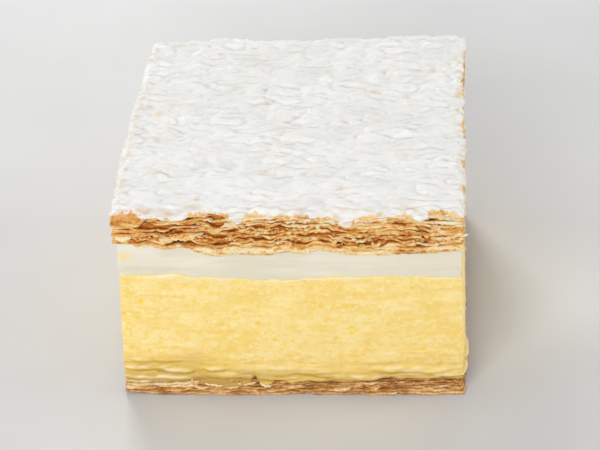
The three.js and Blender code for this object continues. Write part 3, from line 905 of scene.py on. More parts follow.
def leaf_stack():
    """Undersides, thicknesses and edges of the leaves round the cut, and the points they are given at."""
    u, v = ring(N_W, N_D)
    x0, y0 = plan(u, v)
    s = round_from(u, v)
    n = len(u)
    low = lid_low(x0, y0)
    high = stack_top(x0, y0)
    room = high - low
    shares = np.stack([SHARES[j] * (1 + 0.45 * noise(x0 / 6, y0 / 6, 7.1 * j, 50) + 0.2 * noise(x0 / 2.2, y0 / 2.2, 7.1 * j, 51)) for j in range(LEAVES)])
    shares[0] *= 1 + 0.35 * smooth(-22, -18, x0) * smooth(10, 5, x0) * (y0 < -36)
    shares = np.clip(shares, 0.35, None)
    levels = low + room * np.cumsum(shares, 0) / shares.sum(0)
    gaps = np.zeros((LEAVES, n))  # above each leaf

    def put(centre, height, half, opening):
        i = int(np.argmin(np.abs(apart(s, centre))))
        j = int(np.argmin(np.abs(levels[:-1, i] - height))) if height is not None else None
        return i, j

    for x, height, half, opening in OPENINGS:
        _, j = put(x + WIDTH / 2, height, half, opening)
        lens = bump_at(s, x + WIDTH / 2, half) ** 0.8
        gaps[j] = np.maximum(gaps[j], opening * lens * (1 + 0.2 * noise(x0 / 1.6, y0 / 1.6, x, 52)))
    rng = np.random.default_rng(23)
    for j in range(LEAVES - 1):
        place = rng.uniform(0, 8)
        while place < ROUND:
            known = place < 47
            half = rng.uniform(1.0, 2.8) if known else rng.choice([1.8, 3.8, 7.0]) * rng.uniform(0.6, 1.2)
            opening = rng.uniform(0.12, 0.42) if known else rng.uniform(0.2, 1.2)
            lens = bump_at(s, place, half) ** 0.8
            if known:
                lens = lens * smooth(2.5, 6.5, s)
            else:
                lens = lens * smooth(-0.45, 0.25, noise(x0 / 11, y0 / 11, 3.1 * j, 54)) * (1 + 0.5 * noise(x0 / 3.5, y0 / 3.5, place, 55))
            gaps[j] = np.maximum(gaps[j], opening * lens * (1 + 0.3 * noise(x0 / 1.6, y0 / 1.6, place, 53)))
            place += half + (rng.uniform(2.0, 9.0) if known else rng.uniform(2.0, 17.0))
    gaps = np.clip(gaps, 0, None)
    total = gaps.sum(0)
    gaps *= np.minimum(1, 0.46 * room / np.maximum(total, 1e-6))
    thick = shares / shares.sum(0) * (room - gaps.sum(0))
    under = low + np.cumsum(thick + gaps, 0) - (thick + gaps)
    for j in range(1, LEAVES):
        own = 0.24 * noise(x0 / 4.6, y0 / 4.6, 5.3 * j, 56) + 0.1 * noise(x0 / 1.7, y0 / 1.7, 5.3 * j, 57)
        under[j] = under[j] + own * (0.5 if j == LEAVES - 1 else 1.0)
    edges = []
    for j in range(LEAVES):
        e = -0.32 + 0.34 * noise(x0 / 10, y0 / 10, 1.3 * j, 101) + 0.3 * noise(x0 / 3.3, y0 / 3.3, 1.7 * j, 102)
        e = e + 0.16 * noise(x0 / 1.2, y0 / 1.2, 2.1 * j, 103) + 0.1 * noise(x0 / 0.65, y0 / 0.65, 0.9 * j, 104)
        e = e - 2.0 * np.clip(noise(x0 / 5.5, y0 / 5.5, 3.3 * j, 105) - 0.3, 0, 1) - 1.6 * np.clip(noise(x0 / 2.4, y0 / 2.4, 3.3 * j, 116) - 0.34, 0, 1)
        if j == 0:
            e = 0.35 * e + 0.02
        e = e + 0.45 * bump_at(s, 0, 4)
        if j:
            e = e - 0.3 * np.clip(gaps[j] / 0.7, 0, 1)
        if j >= LEAVES - 2:
            # the cavity under the sugar, left of the middle of the front
            e = e - (1.1 if j == LEAVES - 1 else 0.3) * np.clip(1.5 * bump_at(s, 23.2, 3.0), 0, 1)
        # behind the block and the tongues of the crust
        hidden = smooth(-0.3, 0.4, under[j] + thick[j] / 2 - (rim_height(x0, y0) - crust_depth(x0, y0, s)))
        e = e + (np.minimum(e, rim_out(x0, y0) - 0.8) - e) * hidden
        e = e + (0.6 + 0.3 * x0 / 39) * back_out(x0, y0)
        edges.append(np.clip(e, -2.3, 0.3 + 0.7 * back_out(x0, y0)))
    return u, v, s, under, thick, np.stack(edges)


U_LEAF, V_LEAF, S_LEAF, UNDER, THICK, EDGE = leaf_stack()
K_IN = 0.915


def make_leaves():
    u, v = U_LEAF, V_LEAF
    n = len(u)
    x0, y0 = plan(u, v)
    flat = np.array([0.0, 0.6, 0.92])
    turn = np.radians(np.linspace(90, -90, 8))
    for name, group in (("lid_leaves_lower", range(0, 5)), ("lid_leaves_upper", range(5, LEAVES))):
        pts, quads, attrs, count = [], [], {"tone": [], "depth": [], "dust": []}, 0
        for j in group:
            rng = np.random.default_rng(500 + j)
            e, th, z0 = EDGE[j], np.maximum(THICK[j], 0.12), UNDER[j]
            nose = np.minimum(0.42, 0.6 * th)
            kin = K_IN - 0.02 * (j % 3)
            k_flat = kin + (1 + (e - nose) / HALF - kin) * flat[:, None]
            out = e - nose * (1 - np.cos(turn)[:, None] ** 0.55)
            lift = np.sign(np.sin(turn)) * np.abs(np.sin(turn)) ** 0.75
            mid = z0 + th / 2
            curl = 0.12 * noise(x0 / 6, y0 / 6, 2.9 * j, 106)
            rough_z = mid + 0.5 * th * lift[:, None]
            rough = 0.11 * noise(x0 / 0.8, y0 / 0.8, rough_z / 0.45, 107) + 0.12 * noise(x0 / 2.2, y0 / 2.2, rough_z / 0.6, 108)
            broken = crumbly(S_LEAF, rough_z)
            rough = rough * (1 + 0.8 * broken) + 0.26 * broken * noise(x0 / 0.9, y0 / 0.9, rough_z / 0.6, 117)
            # splits along the face of a thick leaf
            split = np.exp(-(((np.abs(noise(x0 / 7, y0 / 7, rough_z / 0.8, 109))) / 0.09) ** 2)) * smooth(0.35, 0.8, th)
            out = out + (rough - 0.24 * split) * np.cos(turn)[:, None] ** 0.3
            k_nose = 1 + out / HALF
            K = np.concatenate([k_flat, k_nose, k_flat[::-1]])
            z_flat = 0.07 * noise(x0 / 1.4, y0 / 1.4, 5.0 * j, 110) * flat[:, None]
            if j >= LEAVES - 2:
                z_flat = z_flat - 0.7 * (1 - flat[:, None])  # down under the crust
            Z = np.concatenate([
                mid + th / 2 + z_flat + curl * flat[:, None] ** 2,
                rough_z + curl + 0.06 * noise(x0 / 1.2, y0 / 1.2, 4.0 * j, 111),
                (mid - th / 2 + z_flat + curl * flat[:, None] ** 2)[::-1],
            ])
            X, Y = plan(u * K, v * K)
            rows = len(X)
            pts.append(np.stack([X, Y, Z], -1).reshape(-1, 3))
            q = band(rows, n)
            last = (rows - 1) * n + np.arange(n)
            first = np.arange(n)
            q = np.concatenate([q, np.stack([last, np.roll(last, -1), np.roll(first, -1), first], -1)])
            quads.append(q[:, ::-1] + count)
            count += rows * n
            K_edge = 1 + e / HALF
            bake = 0.475 + 0.07 * rng.uniform(-1, 1) + 0.22 * noise(X / 9, Y / 9, 0.9 * j, 112) + 0.16 * noise(X / 2.5, Y / 2.5, Z / 0.8, 113)
            if j == 0:
                soft = smooth(-23, -18, x0) * smooth(11, 6, x0) * (y0 < -36)
                soft = soft + smooth(0.0, 0.4, noise(x0 / 14, y0 / 14, 0, 115)) * (1 - (y0 < -36) * smooth(12, 4, x0))
                bake = bake + 0.3 * np.clip(soft, 0, 1)
            bake = bake + 0.07 * smooth(44, 50, S_LEAF) - 0.14 * bump_at(S_LEAF, 7, 8) + (0.19 if j >= LEAVES - 3 else 0.03)
            # painted highlight on each leaf's nose, with its faces painted darker as shade
            bake = bake + 0.2 * smooth(0.22, 0.0, (K_edge - K) * HALF) - 0.12
            bake = bake + crumbly(S_LEAF, Z) * (0.5 * noise(X / 0.9, Y / 0.9, Z / 0.6, 117))
            # painted shade in the splits along a leaf's face
            split_shade = np.concatenate([np.zeros((len(flat), n)), split, np.zeros((len(flat), n))])
            attrs["tone"].append(np.clip(bake - 0.4 * split_shade, 0, 1).ravel())
            # darker further in from each leaf's nose and where its edge is set back: partly deeper bake, partly painted
            # shade
            depth = np.clip(((1 + np.minimum(e, 0) / HALF - K) * HALF - (0.35 if j == 0 else 0.12)) / 0.75, 0, 1) * (0.7 if j == 0 else 1.0)
            depth = np.maximum(depth, np.clip((-e[None, :] - 0.9) / 2.4, 0, 0.6) * np.ones_like(K))
            attrs["depth"].append(depth.ravel())
            up = 0.8 if j >= LEAVES - 2 else 0.35 if j >= LEAVES - 4 else 0.0
            dust = up * smooth(0.1, 0.4, noise(X / 3.5, Y / 3.5, 1.1 * j, 114))
            dust = dust * smooth(0.7, 0.2, (K_edge - K) * HALF)
            dust = np.where((np.arange(rows) <= len(flat) + 3)[:, None], dust, 0)
            attrs["dust"].append(dust.ravel())
        ob = build(name, np.concatenate(pts), np.concatenate(quads), None, {key: np.concatenate(val) for key, val in attrs.items()}, PASTRY)
        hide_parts("top_pastry")
        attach(ob, "root")


def make_core():
    u, v = ring(96, 94)
    rows = 15
    t = np.linspace(0, 1, rows)[:, None]
    x0, y0 = plan(u, v)
    zb, zt = cream_top(x0, y0) + 0.3, lid_top(x0, y0) - 1.7
    z = zb + t * (zt - zb)
    off = -1.75 + 0.4 * noise(x0 / 4, y0 / 4, z / 1.0, 121) + 0.3 * noise(x0 / 1.5, y0 / 1.5, z / 0.6, 122)
    off = off - 1.0 * smooth(0.1, 0.0, t) - 0.8 * smooth(0.9, 1.0, t)
    k = 1 + off / HALF
    ob = slab("lid_inside", u, v, k, z, lambda x, y: cream_top(x, y) + 0.3, lambda x, y: lid_top(x, y) - 1.7, CORE)
    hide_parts("top_pastry")
    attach(ob, "root")


def crust_line(half):
    """Positions of grid lines over -1 to 1, closer together near both edges."""
    fine = np.arange(0, 3.4, 0.22)
    coarse = np.linspace(3.4, half, int((half - 3.4) / 0.36) + 1)
    side = np.concatenate([fine, coarse]) / half
    left = -1 + side
    return np.concatenate([left, -left[::-1][1:]])


# soft tan spots where a blister shows through the sugar: x, y, radius, strength
SPOTS = [
    (-35.4, 8.0, 1.3, 0.75),
    (-32.5, 4.6, 1.6, 0.6),
    (-29.9, 9.4, 1.2, 0.7),
    (-1.7, -8.9, 1.5, 0.8),
    (-7.4, 9.4, 1.0, 0.6),
    (-30.4, -21.5, 1.7, 0.5),
    (-5.3, -20.3, 1.7, 0.55),
    (-3.6, -2.4, 1.9, 0.35),
    (-10.9, 27.7, 1.3, 0.3),
    (17.0, 14.5, 1.5, 0.6),
    (25.5, -14.0, 1.8, 0.5),
    (31.0, 24.0, 1.3, 0.55),
    (11.5, -27.5, 1.6, 0.5),
]


# soft stripes of thin sugar along the front rim: x, y, half length, half width, strength
STRIPES = [
    (-21.0, -35.0, 2.6, 1.3, 0.75),
    (-30.6, -36.6, 3.4, 1.2, 0.55),
    (-26.6, -37.3, 1.4, 1.0, 0.6),
    (3.0, -36.6, 2.0, 1.4, 0.5),
    (-29.2, -36.3, 3.8, 0.7, 0.5),
    (-8.4, -35.9, 3.2, 0.55, 0.6),
    (-0.5, -36.1, 5.5, 0.7, 0.45),
    (14.0, -36.0, 4.5, 0.8, 0.5),
    (27.0, -35.6, 3.0, 0.9, 0.6),
]


def make_crust():
    lu, lv = crust_line(WIDTH / 2), crust_line(DEPTH / 2)
    nu, nv = len(lu), len(lv)
    U, V = np.meshgrid(lu, lv)
    m = np.maximum(np.maximum(np.abs(U), np.abs(V)), 1e-6)
    ub, vb = np.clip(U / m, -1, 1), np.clip(V / m, -1, 1)
    xb, yb = plan(ub, vb)
    sb = round_from(ub, vb)
    d = (1 - m) * HALF
    out = rim_out(xb, yb)
    k = m + out / HALF * smooth(0.9, 1.0, m)
    x, y = plan(ub * k, vb * k)
    inside = HEIGHT - 0.7 + lift(x, y) + 0.7 * (lid_top(x, y) - HEIGHT + 0.4) + 0.2 * noise(x / 15, y / 5, 0, 151) + 0.14 * noise(x / 8, y / 2.6, 0, 152)
    wx = x + 1.2 * noise(x / 4, y / 3, 0, 181)
    wy = y + 0.8 * noise(x / 4, y / 3, 0, 182)
    inside = inside + 1.45 * np.sqrt(noise(wx / 7.0, wy / 2.7, 0, 183) ** 2 + 0.005) - 0.3
    inside = inside + 1.0 * np.sqrt(noise(wx / 3.9, wy / 1.55, 0, 184) ** 2 + 0.006) - 0.2
    inside = inside + 0.03 * noise(x / 1.3, y / 0.75, 0, 154)
    near = smooth(1.8, 0.0, d) ** 1.4
    b = sugar_line(xb, yb, sb)
    cover = smooth(-0.75, 0.7, d - b + 0.5 * noise(x / 1.2, y / 1.2, 0, 155) + 0.25 * noise(x / 0.55, y / 0.55, 0, 156))
    lumps = 0.4 * np.clip(noise(x / 1.5, y / 1.3, 0, 157), 0, 1) * smooth(3.2, 0.6, d)
    z = inside + (rim_height(xb, yb) - inside) * near - 0.35 * near**3
    z = z + cover * lumps - (1 - cover) * 0.22 * smooth(3, 1.5, d)
    z = z + (1 - cover) * (0.12 * noise(x / 1.1, y / 1.1, 0, 158) + 0.07 * noise(x / 0.6, y / 0.6, 0, 159)) * smooth(3, 1, d)
    grid = np.arange(nu * nv).reshape(nv, nu)
    quads = [np.stack([grid[:-1, :-1], grid[:-1, 1:], grid[1:, 1:], grid[1:, :-1]], -1).reshape(-1, 4)]
    pts = [np.stack([x, y, z], -1).reshape(-1, 3)]
    rim = np.concatenate([grid[0, :-1], grid[:-1, -1], grid[-1, :0:-1], grid[:0:-1, 0]])
    n = len(rim)
    ru, rv = ub.ravel()[rim], vb.ravel()[rim]
    rx, ry = plan(ru, rv)
    rs = round_from(ru, rv)
    rout, rz = out.ravel()[rim], z.ravel()[rim]
    thick = crust_depth(rx, ry, rs)
    low = rim_height(rx, ry) - thick
    low = np.minimum(low, rz - 0.4)
    # the cut of the crust, from under its edge up to the rim
    steps = 20
    ts = np.linspace(0, 1, steps + 1)[:-1][:, None]
    wz = low + ts * (rz - low)
    down = rz - wz
    phase = down / 0.78 + 0.7 * noise(rx / 6, ry / 6, 0, 160) + 0.3 * noise(rx / 2, ry / 2, wz / 1.5, 161)
    leaf = np.floor(phase)
    f = phase - leaf
    edge = 0.24 * noise(rx / 4, ry / 4, leaf * 3.3, 162) + 0.14 * noise(rx / 1.3, ry / 1.3, leaf * 5.1, 163)
    seam = np.exp(-((np.minimum(f, 1 - f) / 0.13) ** 2)) * smooth(-0.1, 0.45, noise(rx / 4, ry / 4, np.round(phase) * 2.7, 164))
    block = np.clip(1.6 * bump_at(rs, 3.2, 4.6), 0, 1)
    seam = seam * (1 - 0.75 * block)
    woff = rout + (edge + 0.1) * smooth(0.0, 0.25, down) - 0.55 * seam * smooth(0.15, 0.4, down)
    woff = woff + 0.13 * noise(rx / 0.9, ry / 0.9, wz / 0.55, 165) + 0.16 * noise(rx / 2.0, ry / 2.0, wz / 1.0, 166) * smooth(0, 0.3, down)
    woff = woff - 0.45 * smooth(0.14, 0.0, ts)
    bw = sugar_line(rx, ry, rs)
    wcover = smooth(-0.6, 0.6, -down - bw + 0.45 * noise(rx / 1.1, ry / 1.1, wz / 0.8, 167) + 0.2 * noise(rx / 0.5, ry / 0.5, wz / 0.4, 168))
    sprinkle = 0.62 * (1 - 0.85 * block) * smooth(0.05, 0.4, noise(rx / 1.3, ry / 1.3, wz / 0.7, 169)) * smooth(2.6, 0.6, down)
    wcover = np.maximum(wcover, sprinkle * smooth(0.55, 0.25, seam))
    woff = np.clip(woff + wcover * 0.16, -2.6, np.maximum(0.42, rout + 0.1))
    wk = 1 + woff / HALF
    wx, wy = plan(ru * wk, rv * wk)
    count = nu * nv
    pts.append(np.stack([wx, wy, wz], -1).reshape(-1, 3))
    quads.append(band(steps, n) + count)
    last = count + (steps - 1) * n + np.arange(n)
    quads.append(np.stack([last, np.roll(last, -1), np.roll(rim, -1), rim], -1))
    bottom = count + np.arange(n)
    count += steps * n
    under_k = 1 + (rout - 0.6) / HALF
    prev = bottom
    for factor, share in ((0.985, 1.0), (0.955, 0.7), (0.9, 0.0), (0.6, 0.0), (0.25, 0.0)):
        kx = under_k * factor
        ux, uy = plan(ru * kx, rv * kx)
        uz = lid_top(ux, uy) - 1.5
        uz = uz + (low - uz) * share
        pts.append(np.stack([ux, uy, uz], -1))
        ids = count + np.arange(n)
        quads.append(np.stack([ids, np.roll(ids, -1), np.roll(prev, -1), prev], -1))
        prev = ids
        count += n
    pts.append(np.array([[0.0, 0.0, float(lid_top(0.0, 0.0)) - 1.5]]))
    tris = np.stack([np.roll(prev, -1), prev, np.full(n, count)], -1)
    more = 5 * n + 1
    freckle = noise(x / 2.4, y / 1.9, 0, 170) + 0.45 * noise(x / 9, y / 9, 0, 174)
    tan = 0.4 * smooth(0.66, 0.98, freckle)
    for sx, sy, radius, strength in SPOTS:
        away = np.hypot((x - sx) * 0.75, (y - sy) * 1.1) / radius + 0.55 * noise(x / 1.3, y / 0.7, sx, 175)
        tan = np.maximum(tan, 0.4 * strength * smooth(1.5, 0.3, away))
        tan = np.maximum(tan, 0.85 * strength * smooth(0.7, 0.2, away))
    for sx, sy, long, wide, strength in STRIPES:
        away = np.hypot((x - sx) / long, (y - sy) / wide) + 0.3 * noise(x / 2.0, y / 0.9, sx, 185)
        tan = np.maximum(tan, 0.7 * strength * smooth(1.15, 0.3, away))
    edge_tan = 0.66 * (1 - 0.8 * back_out(x, y)) * smooth(3.0, 0.0, d - np.maximum(b, 0)) * smooth(-0.05, 0.5, noise(x / 2.4, y / 1.3, 0, 176))
    tan = np.clip(tan + edge_tan, 0, 0.9)
    wtan = 0.5 * smooth(0.0, 0.45, noise(rx / 1.6, ry / 1.6, wz / 0.8, 176))
    tone_top = 0.7 + 0.22 * noise(x / 4, y / 4, 0, 177) + 0.14 * noise(x / 1.4, y / 1.4, 0, 178)
    tone_top = tone_top - 0.16 * np.clip(1.6 * bump_at(sb, 3.2, 4.6), 0, 1)
    # darker in the seams between the crust's leaves: partly a darker joint, partly painted shade in the groove
    tone_wall = 0.74 + 0.18 * noise(rx / 5, ry / 5, leaf * 1.2, 179) + 0.18 * noise(rx / 1.5, ry / 1.5, wz / 0.7, 180) - 0.45 * seam
    tone_wall = tone_wall - 0.27 * block
    # depth: darker in the seams, at the foot of the cut under the rim and where the cut is set back, partly deeper
    # bake, partly painted shade
    depth_wall = np.clip(0.55 * seam + 0.8 * smooth(0.12, 0.0, ts) + np.clip((-woff - 0.9) / 2.2, 0, 0.5), 0, 1)
    # the underside gets the darkest colour, as painted shade
    attrs = {
        "sugar": np.concatenate([cover.ravel(), wcover.ravel(), np.zeros(more)]),
        "tan": np.concatenate([tan.ravel(), wtan.ravel(), np.zeros(more)]),
        "tone": np.concatenate([np.clip(tone_top, 0, 1).ravel(), np.clip(tone_wall, 0, 1).ravel(), np.full(more, 0.4)]),
        "depth": np.concatenate([np.zeros(x.size), depth_wall.ravel(), np.full(more, 1.0)]),
    }
    ob = build("lid_sugar_crust", np.concatenate(pts), np.concatenate(quads), tris, attrs, CRUST)
    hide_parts("top_pastry")
    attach(ob, "root")


# ---- cream --------------------------------------------------------------------------------
def make_cream():
    u, v = ring(164, 160)
    rows = 25
    t = np.linspace(0, 1, rows)[:, None]
    x0, y0 = plan(u, v)
    zi = custard_edge(x0, y0)
    zb, zt = zi - 0.9, lid_low(x0, y0) + 0.4
    z = zb + t * (zt - zb)
    h = z - zi
    off = -0.74 + 0.15 * np.sin(np.pi * np.clip(h / 6.8, 0, 1))
    off = off + 0.12 * noise(x0 / 13, y0 / 13, z / 5, 42)
    off = off + 0.05 * noise(x0 / 9, y0 / 9, z / 0.8, 43) + 0.03 * noise(x0 / 4, y0 / 4, z / 0.5, 44)
    off = off - 0.5 * np.clip(noise(x0 / 5, y0 / 5, z / 2.2, 45) - 0.45, 0, 1)
    off = np.where(h < 0, np.minimum(off, -0.8), off)
    k = 1 + off / HALF
    front = y0 < -30
    smear = 0.9 * np.exp(-(((x0 + 37.4) / 1.5) ** 2) - ((z - 37.6) / 0.8) ** 2) * front
    smear = smear + 0.5 * np.clip(noise(x0 / 3, y0 / 3, z / 1.1, 46) - 0.55, 0, 1)
    smear = smear + 0.7 * smooth(0.7, 0.1, h) * smooth(0.0, 0.5, noise(x0 / 4, y0 / 4, h / 1.5, 47))
    # a painted pool of light on the cream at the front left, under the lid
    pale = 0.6 * np.exp(-(((x0 + 34.5) / 5.5) ** 2) - ((z - 40.2) / 2.2) ** 2) * front
    # random paler patches all round
    pale = pale + 0.25 * np.clip(noise(x0 / 8, y0 / 8, z / 3, 48), 0, 1)
    ob = slab("cream_layer", u, v, k, z, lambda x, y: custard_top(x, y) - 0.3, lambda x, y: cream_top(x, y) + 0.3, CREAM, {"smear": np.clip(smear, 0, 0.9), "pale": np.clip(pale, 0, 0.9)})
    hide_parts("cream")
    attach(ob, "root")


# ---- loose flakes and crumbs on the cut -----------------------------------------------------
def flake(rng, centre, along, out, size, reach, thick, tilt, curl):
    """One thin curved flake: points and quads. along and out are unit directions on the plan."""
    na, nb = 12, 6
    a = np.linspace(-1, 1, na)
    b = np.linspace(0, 1, nb)
    A, B = np.meshgrid(a, b)
    seed = int(rng.integers(0, 9999))
    ragged = 1 + 0.34 * noise(A * 1.9, B * 0.4, seed * 0.37, 201) + 0.2 * noise(A * 5, B, seed * 0.11, 202)
    round_off = np.sqrt(np.clip(1 - (np.abs(A) ** 2.4) * 0.9, 0.02, 1))
    pa = A * size * (1 + 0.14 * noise(B * 3, A * 0.5, seed * 0.21, 203))
    pb = B * reach * ragged * round_off
    lift = np.tan(tilt) * pb + curl * B**2 * reach + 0.16 * noise(A * 1.6, B * 1.6, seed * 0.5, 204) * size * 0.5
    edge = np.minimum(1, 3.2 * np.minimum(1 - np.abs(A) * 0.98, 1.02 - B))
    half = thick / 2 * np.clip(edge, 0.2, 1)
    P = centre + pa[..., None] * along + pb[..., None] * out
    top, bot = P.copy(), P.copy()
    top[..., 2] += lift + half
    bot[..., 2] += lift - half
    pts = np.concatenate([top.reshape(-1, 3), bot.reshape(-1, 3)])
    g = np.arange(na * nb).reshape(nb, na)
    h = g + na * nb
    sign = np.cross(along, out)[2]
    q1 = np.stack([g[:-1, :-1], g[:-1, 1:], g[1:, 1:], g[1:, :-1]], -1).reshape(-1, 4)
    q2 = np.stack([h[:-1, :-1], h[1:, :-1], h[1:, 1:], h[:-1, 1:]], -1).reshape(-1, 4)
    rim = np.concatenate([g[0, :-1], g[:-1, -1], g[-1, :0:-1], g[:0:-1, 0]])
    low = rim + na * nb
    q3 = np.stack([low, np.roll(low, -1), np.roll(rim, -1), rim], -1)
    q = np.concatenate([q1, q2, q3])
    return pts, (q if sign > 0 else q[:, ::-1])


def facing(u, v):
    """Unit directions along the cut and out of it at an edge point."""
    if v <= -1 + 1e-6:
        return np.array([1.0, 0, 0]), np.array([0, -1.0, 0])
    if u >= 1 - 1e-6:
        return np.array([0, 1.0, 0]), np.array([1.0, 0, 0])
    if v >= 1 - 1e-6:
        return np.array([-1.0, 0, 0]), np.array([0, 1.0, 0])
    return np.array([0, -1.0, 0]), np.array([-1.0, 0, 0])


def ball():
    """A small round lump's points and triangles, from an icosahedron split once."""
    g = (1 + 5**0.5) / 2
    p = [(-1, g, 0), (1, g, 0), (-1, -g, 0), (1, -g, 0), (0, -1, g), (0, 1, g), (0, -1, -g), (0, 1, -g), (g, 0, -1), (g, 0, 1), (-g, 0, -1), (-g, 0, 1)]
    f = [(0, 11, 5), (0, 5, 1), (0, 1, 7), (0, 7, 10), (0, 10, 11), (1, 5, 9), (5, 11, 4), (11, 10, 2), (10, 7, 6), (7, 1, 8),
         (3, 9, 4), (3, 4, 2), (3, 2, 6), (3, 6, 8), (3, 8, 9), (4, 9, 5), (2, 4, 11), (6, 2, 10), (8, 6, 7), (9, 8, 1)]
    pts = [np.array(q, float) for q in p]
    middle, faces = {}, []

    def half(i, j):
        key = (min(i, j), max(i, j))
        if key not in middle:
            middle[key] = len(pts)
            pts.append((pts[i] + pts[j]) / 2)
        return middle[key]

    for i, j, k in f:
        a, b, c = half(i, j), half(j, k), half(k, i)
        faces += [(i, a, c), (j, b, a), (k, c, b), (a, b, c)]
    pts = np.array(pts)
    return pts / np.linalg.norm(pts, axis=1)[:, None], np.array(faces)


class Bits:
    """Small pieces gathered into one mesh."""

    def __init__(self):
        self.pts, self.quads, self.tris, self.tone, self.dust, self.count = [], [], [], [], [], 0

    def add(self, pts, quads=None, tris=None, bake=0.7, dust=0.0):
        pts[:, 2] = np.maximum(pts[:, 2], 0.03)
        self.pts.append(pts)
        if quads is not None:
            self.quads.append(quads + self.count)
        if tris is not None:
            self.tris.append(tris + self.count)
        self.tone.append(np.clip(bake + 0.14 * noise(pts[:, 0] / 1.2, pts[:, 1] / 1.2, pts[:, 2] / 0.8, 205), 0, 1))
        self.dust.append(np.full(len(pts), dust))
        self.count += len(pts)

    def build(self, name, material=PASTRY, slot="flaky_pastry"):
        quads = np.concatenate(self.quads) if self.quads else np.zeros((0, 4), int)
        tris = np.concatenate(self.tris) if self.tris else None
        attrs = {"tone": np.concatenate(self.tone), "depth": np.zeros(self.count), "dust": np.concatenate(self.dust)}
        ob = build(name, np.concatenate(self.pts), quads, tris, attrs, material)
        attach(ob, "root")


def lump(rng, centre, size, squash):
    pts, tris = BALL
    seed = rng.uniform(0, 99)
    shape = pts * (1 + 0.55 * noise(pts[:, 0] * 1.3 + seed, pts[:, 1] * 1.3, pts[:, 2] * 1.3, 206))[:, None]
    shape = shape * np.array([size * rng.uniform(0.7, 1.7), size * rng.uniform(0.7, 1.7), size * squash])
    return shape + centre, tris


BALL = ball()


